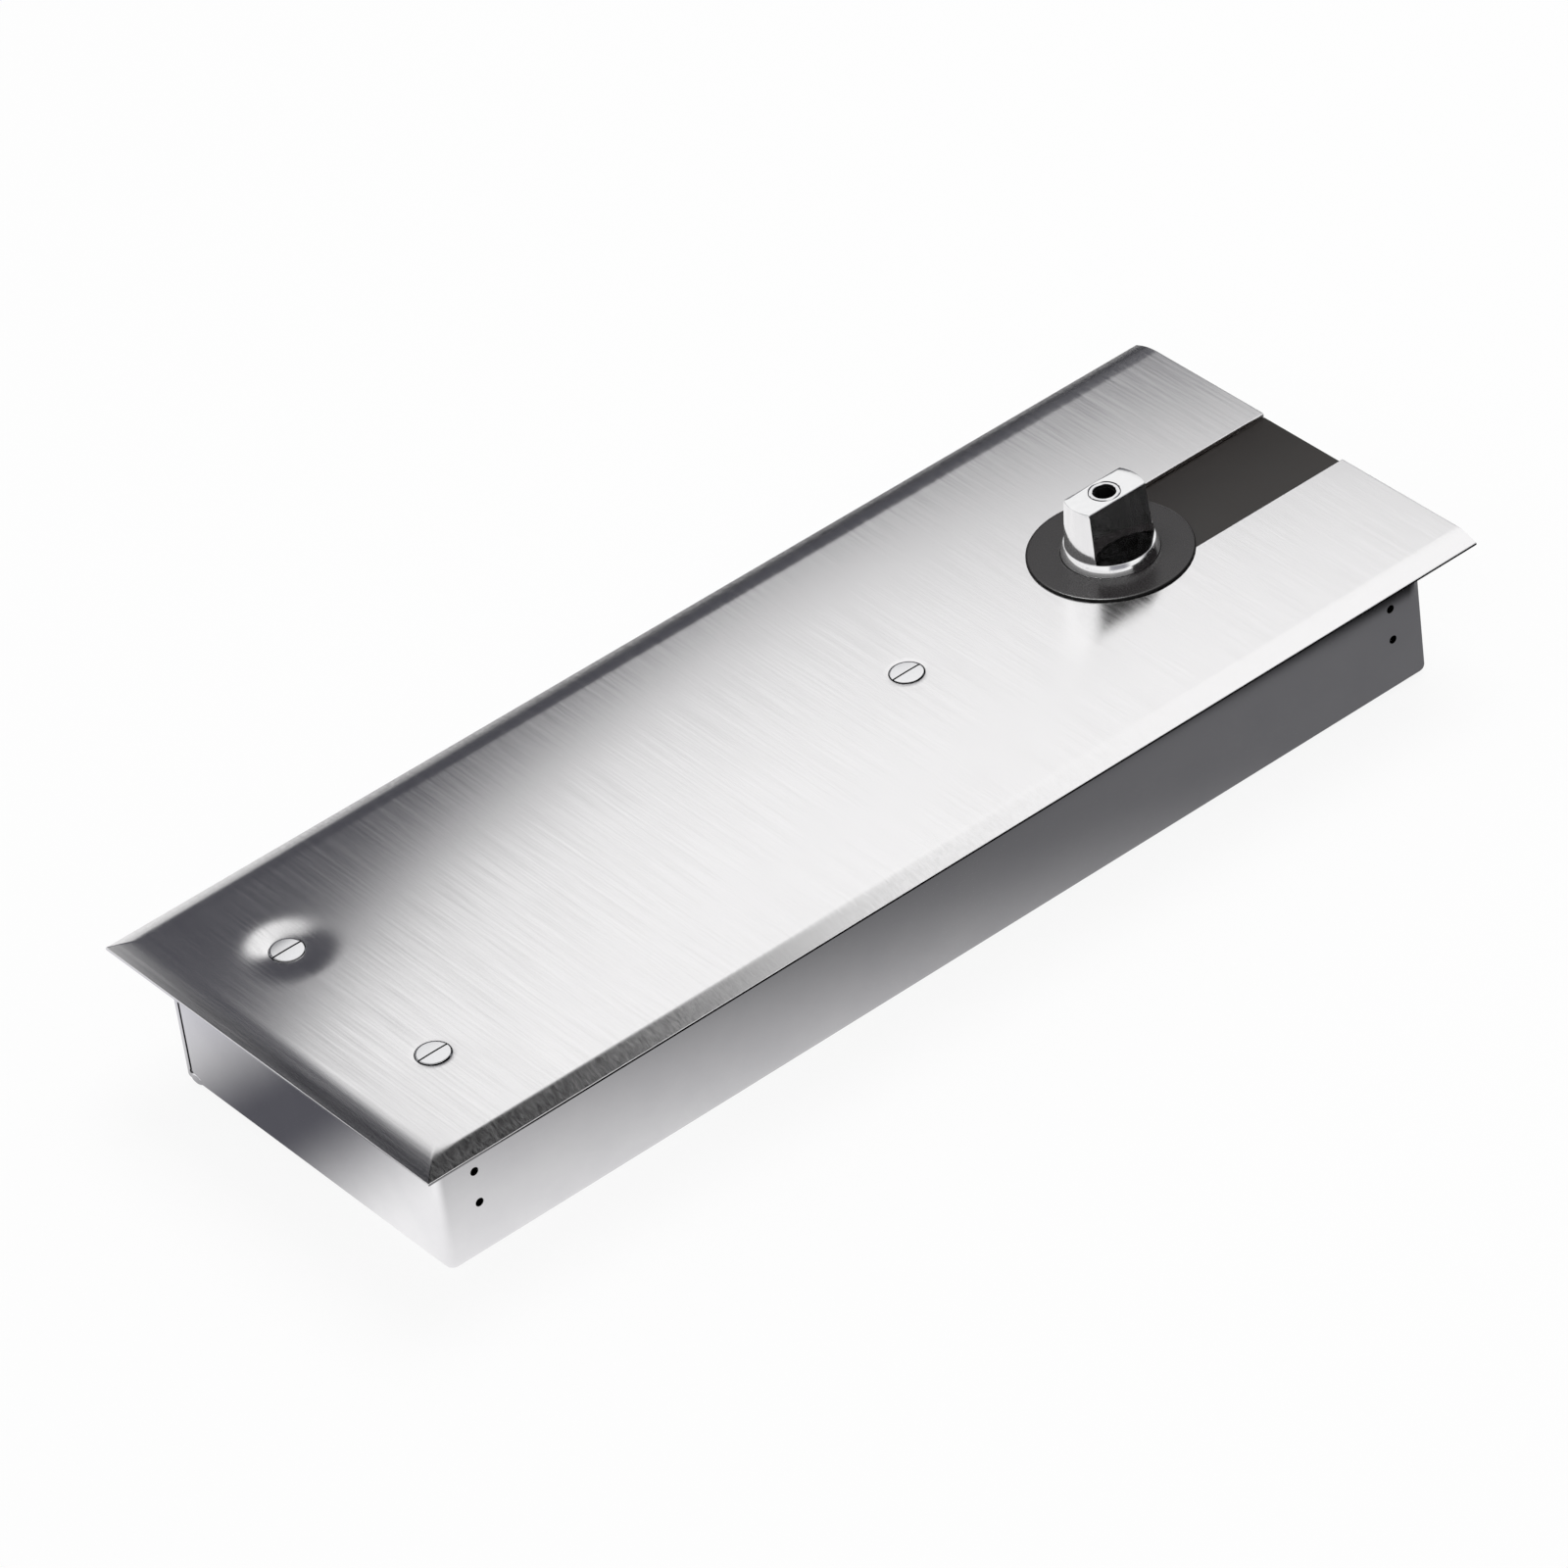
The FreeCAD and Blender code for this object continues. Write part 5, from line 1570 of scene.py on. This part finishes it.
    def flag_material(self, flag: Flag) -> bpy.types.Material:
        """Makes a card's material: its plain colour in the patch, clear elsewhere.

        Args:
            flag: the card.
        """
        material = bpy.data.materials.new(flag.name)
        tree = blank_tree(material)
        place = add_node(tree, "ShaderNodeTexCoord").outputs["UV"]
        share = self.soft_patch(tree, place, flag.patch)
        factors = []
        if flag.window is not None:
            bright = self.soft_patch(tree, place, flag.window)
            factors.append(add_node(tree, "ShaderNodeMath", {"operation": "SUBTRACT"}, i0=1.0, i1=bright))
        if flag.mirrored is not Mirrored.ALL:
            bounces = add_node(tree, "ShaderNodeLightPath").outputs["Glossy Depth"]
            factors.append(add_node(tree, "ShaderNodeMath", {"operation": flag.mirrored.value}, i0=bounces,
                                    i1=self.second_mirror))
        for factor in factors:
            share = add_node(tree, "ShaderNodeMath", {"operation": "MULTIPLY"}, i0=share,
                             i1=factor.outputs[0]).outputs[0]
        clear = add_node(tree, "ShaderNodeBsdfTransparent").outputs[0]
        plain = add_node(tree, "ShaderNodeEmission", Color=linear(flag.colour), Strength=1.0).outputs[0]
        mix = add_node(tree, "ShaderNodeMixShader", i0=share, i1=clear, i2=plain).outputs[0]
        add_node(tree, "ShaderNodeOutputMaterial", Surface=mix)
        return material

    def hang(self, flag: Flag) -> None:
        """Hangs one card as a flat quad that covers its patch, seen in reflections only.

        Args:
            flag: the card.
        """
        on_card = np.array(flag.patch.centre) + QUAD * (np.array(flag.patch.half) + flag.patch.fade / 2)
        across = np.array(flag.across) / np.linalg.norm(flag.across)
        upward = np.array(flag.upward) / np.linalg.norm(flag.upward)
        corners = np.array(flag.centre) + on_card[:, :1] * across + on_card[:, 1:] * upward
        hung = self.lay(flag.name, corners, self.flag_material(flag))
        hung.data.uv_layers.new(name="card").data.foreach_set("uv", on_card.ravel())
        hung.visible_camera = False
        hung.visible_diffuse = False
        hung.visible_shadow = False
        hung.visible_transmission = False

    @staticmethod
    def light(lamp: Lamp, only: bpy.types.Object | None = None) -> None:
        """Hangs a lamp, which metal doesn't mirror unless it lights one object only.

        Args:
            lamp: the lamp.
            only: the one object that it lights, and which mirrors it; every object if left out.
        """
        data = bpy.data.lights.new(lamp.name, "AREA")
        data.shape = "SQUARE"
        data.size = lamp.side
        data.energy = lamp.power
        hung = bpy.data.objects.new(lamp.name, data)
        hung.location = lamp.place
        hung.rotation_euler = (-Vector(lamp.place)).to_track_quat("-Z", "Y").to_euler()
        hung.visible_camera = False
        hung.visible_glossy = only is not None
        if only is not None:
            lit = bpy.data.collections.new(lamp.name + "_lights")
            lit.objects.link(only)
            hung.light_linking.receiver_collection = lit
        bpy.context.scene.collection.objects.link(hung)

    def build(self, rosette: bpy.types.Object) -> None:
        """Sets up the whole studio.

        Args:
            rosette: the black rosette, whose edge a lamp of its own picks out.
        """
        self.camera()
        self.world()
        self.floor()
        for flag in self.flags:
            self.hang(flag)
        for lamp in self.lamps:
            self.light(lamp)
        self.light(self.edge_lamp, only=rosette)


FLAT = ((1.0, 0.0, 0.0), (0.0, 1.0, 0.0))
UPRIGHT = ((1.0, 0.0, 0.0), (0.0, 0.0, 1.0))
ASLANT = ((0.68, 0.73, 0.0), (0.0, 0.0, 1.0))

FLAGS = (
    # Overhead, beyond the plate: its open side is what makes most of the plate white.
    Flag("overhead_flag", (0.0, 0.0, 0.30), (0.9816, 0.1908, 0.0), (-0.1908, 0.9816, 0.0),
         Patch((0.33, 0.41), (0.43, 0.425), 0.10, 0.10), colour="4a4a50",
         window=Patch((0.1975, -0.7092), (0.3275, 1.0), 0.28, 0.03)),
    # Overhead, left of the plate: the plain end's slope looks at it, and its soft side at the bend.
    Flag("end_flag", (0.0, 0.0, 0.301), *FLAT, Patch((-0.265, 0.16), (0.20, 0.17), 0.10, 0.14),
         colour="38383c"),
    # Overhead, over the near left corner: the near rim's left end looks at it.
    Flag("rim_flag", (0.0, 0.0, 0.299), *FLAT, Patch((-0.05, -0.03), (0.12, 0.14), 0.08, 0.09),
         colour="0e0e10"),
    # Far off and low, behind the far rim: darker towards the spindle end.
    Flag("back_flag", (0.0, 1.2, 0.0), *UPRIGHT,
         Patch((0.78, 0.2), (0.41, 0.34), 0.30, 0.42), colour="3c3c40"),
    # At the near right: the plate shows it to the spindle's near flat and to the right sides of
    # round parts.
    Flag("near_right_flag", (0.60, -0.55, 0.62), *ASLANT,
         Patch((0.0, 0.0), (0.62, 0.72), 0.15, 0.16), colour="040404", mirrored=Mirrored.LATER),
    # A pale one a little behind it, for the plate itself: what the plate shows from its far side.
    Flag("near_right_shade", (0.63, -0.58, 0.62), *ASLANT,
         Patch((0.35, 0.0), (0.45, 0.72), 0.22, 0.44), colour="98989e"),
    # Low and well before the near wall, pale: what the plate shows from straight behind.
    Flag("front_shade", (0.0, -1.2, 0.0), *UPRIGHT,
         Patch((-0.50, 0.12), (0.55, 0.45), 0.22, 0.44), colour="98989e"),
    # Overhead, well to the left, pale: what the plate shows from its spindle end.
    Flag("left_shade", (0.0, 0.0, 0.302), *FLAT, Patch((-0.62, -0.10), (0.20, 0.40), 0.15, 0.28),
         colour="98989e"),
    # On the floor before the near wall, its edge aslant to the wall.
    Flag("near_floor_flag", (-0.036, -0.065, -0.0002), (0.956, 0.292, 0.0), (-0.292, 0.956, 0.0),
         Patch((0.045, -0.19), (0.215, 0.204), 0.06, 0.10), colour="68686a", mirrored=Mirrored.ALL),
    # On the floor further out: the rim's edge and the band of wall close under it look at it.
    Flag("rim_floor_flag", (0.0, -0.0835, -0.0001), (0.9994, 0.036, 0.0), (-0.036, 0.9994, 0.0),
         Patch((0.09, -0.06), (0.20, 0.06), 0.004, 0.003), colour="060607", mirrored=Mirrored.ALL),
    # On the floor off the plain end: the dark stripe down the end wall.
    Flag("end_floor_flag", (0.0, 0.0, -0.0002), *FLAT, Patch((-0.26, 0.024), (0.17, 0.030), 0.030, 0.05),
         colour="58585e", mirrored=Mirrored.ALL),
    # Beside it, just off white: the far part of the end wall.
    Flag("end_floor_shade", (0.0, 0.0, -0.0003), *FLAT, Patch((-0.30, 0.105), (0.137, 0.055), 0.02, 0.03),
         colour="cacad0", mirrored=Mirrored.ALL),
)

LAMPS = (
    Lamp("key_lamp", (0.5, 0.2, 1.6), side=1.0, power=12.0),
    Lamp("fill_lamp", (-1.2, -1.0, 1.4), side=1.2, power=6.0),
)
EDGE_LAMP = Lamp("edge_lamp", (-0.05, 0.29, 1.16), side=0.5, power=22.0)


def main() -> None:
    """Builds each sub-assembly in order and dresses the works."""
    logging.basicConfig(level=logging.INFO, format="%(name)s: %(message)s")
    bpy.context.scene.view_settings.view_transform = "Standard"
    HiddenWorks().dress()
    CoverPlate().build()
    CoverScrews().build()
    CementCase().build()
    rosette = BlackTrim().build()
    Spindle().build()
    MainSpring().build()
    Studio(FLAGS, LAMPS, EDGE_LAMP).build(rosette)
    bpy.context.view_layer.update()


if __name__ == "__main__":
    main()
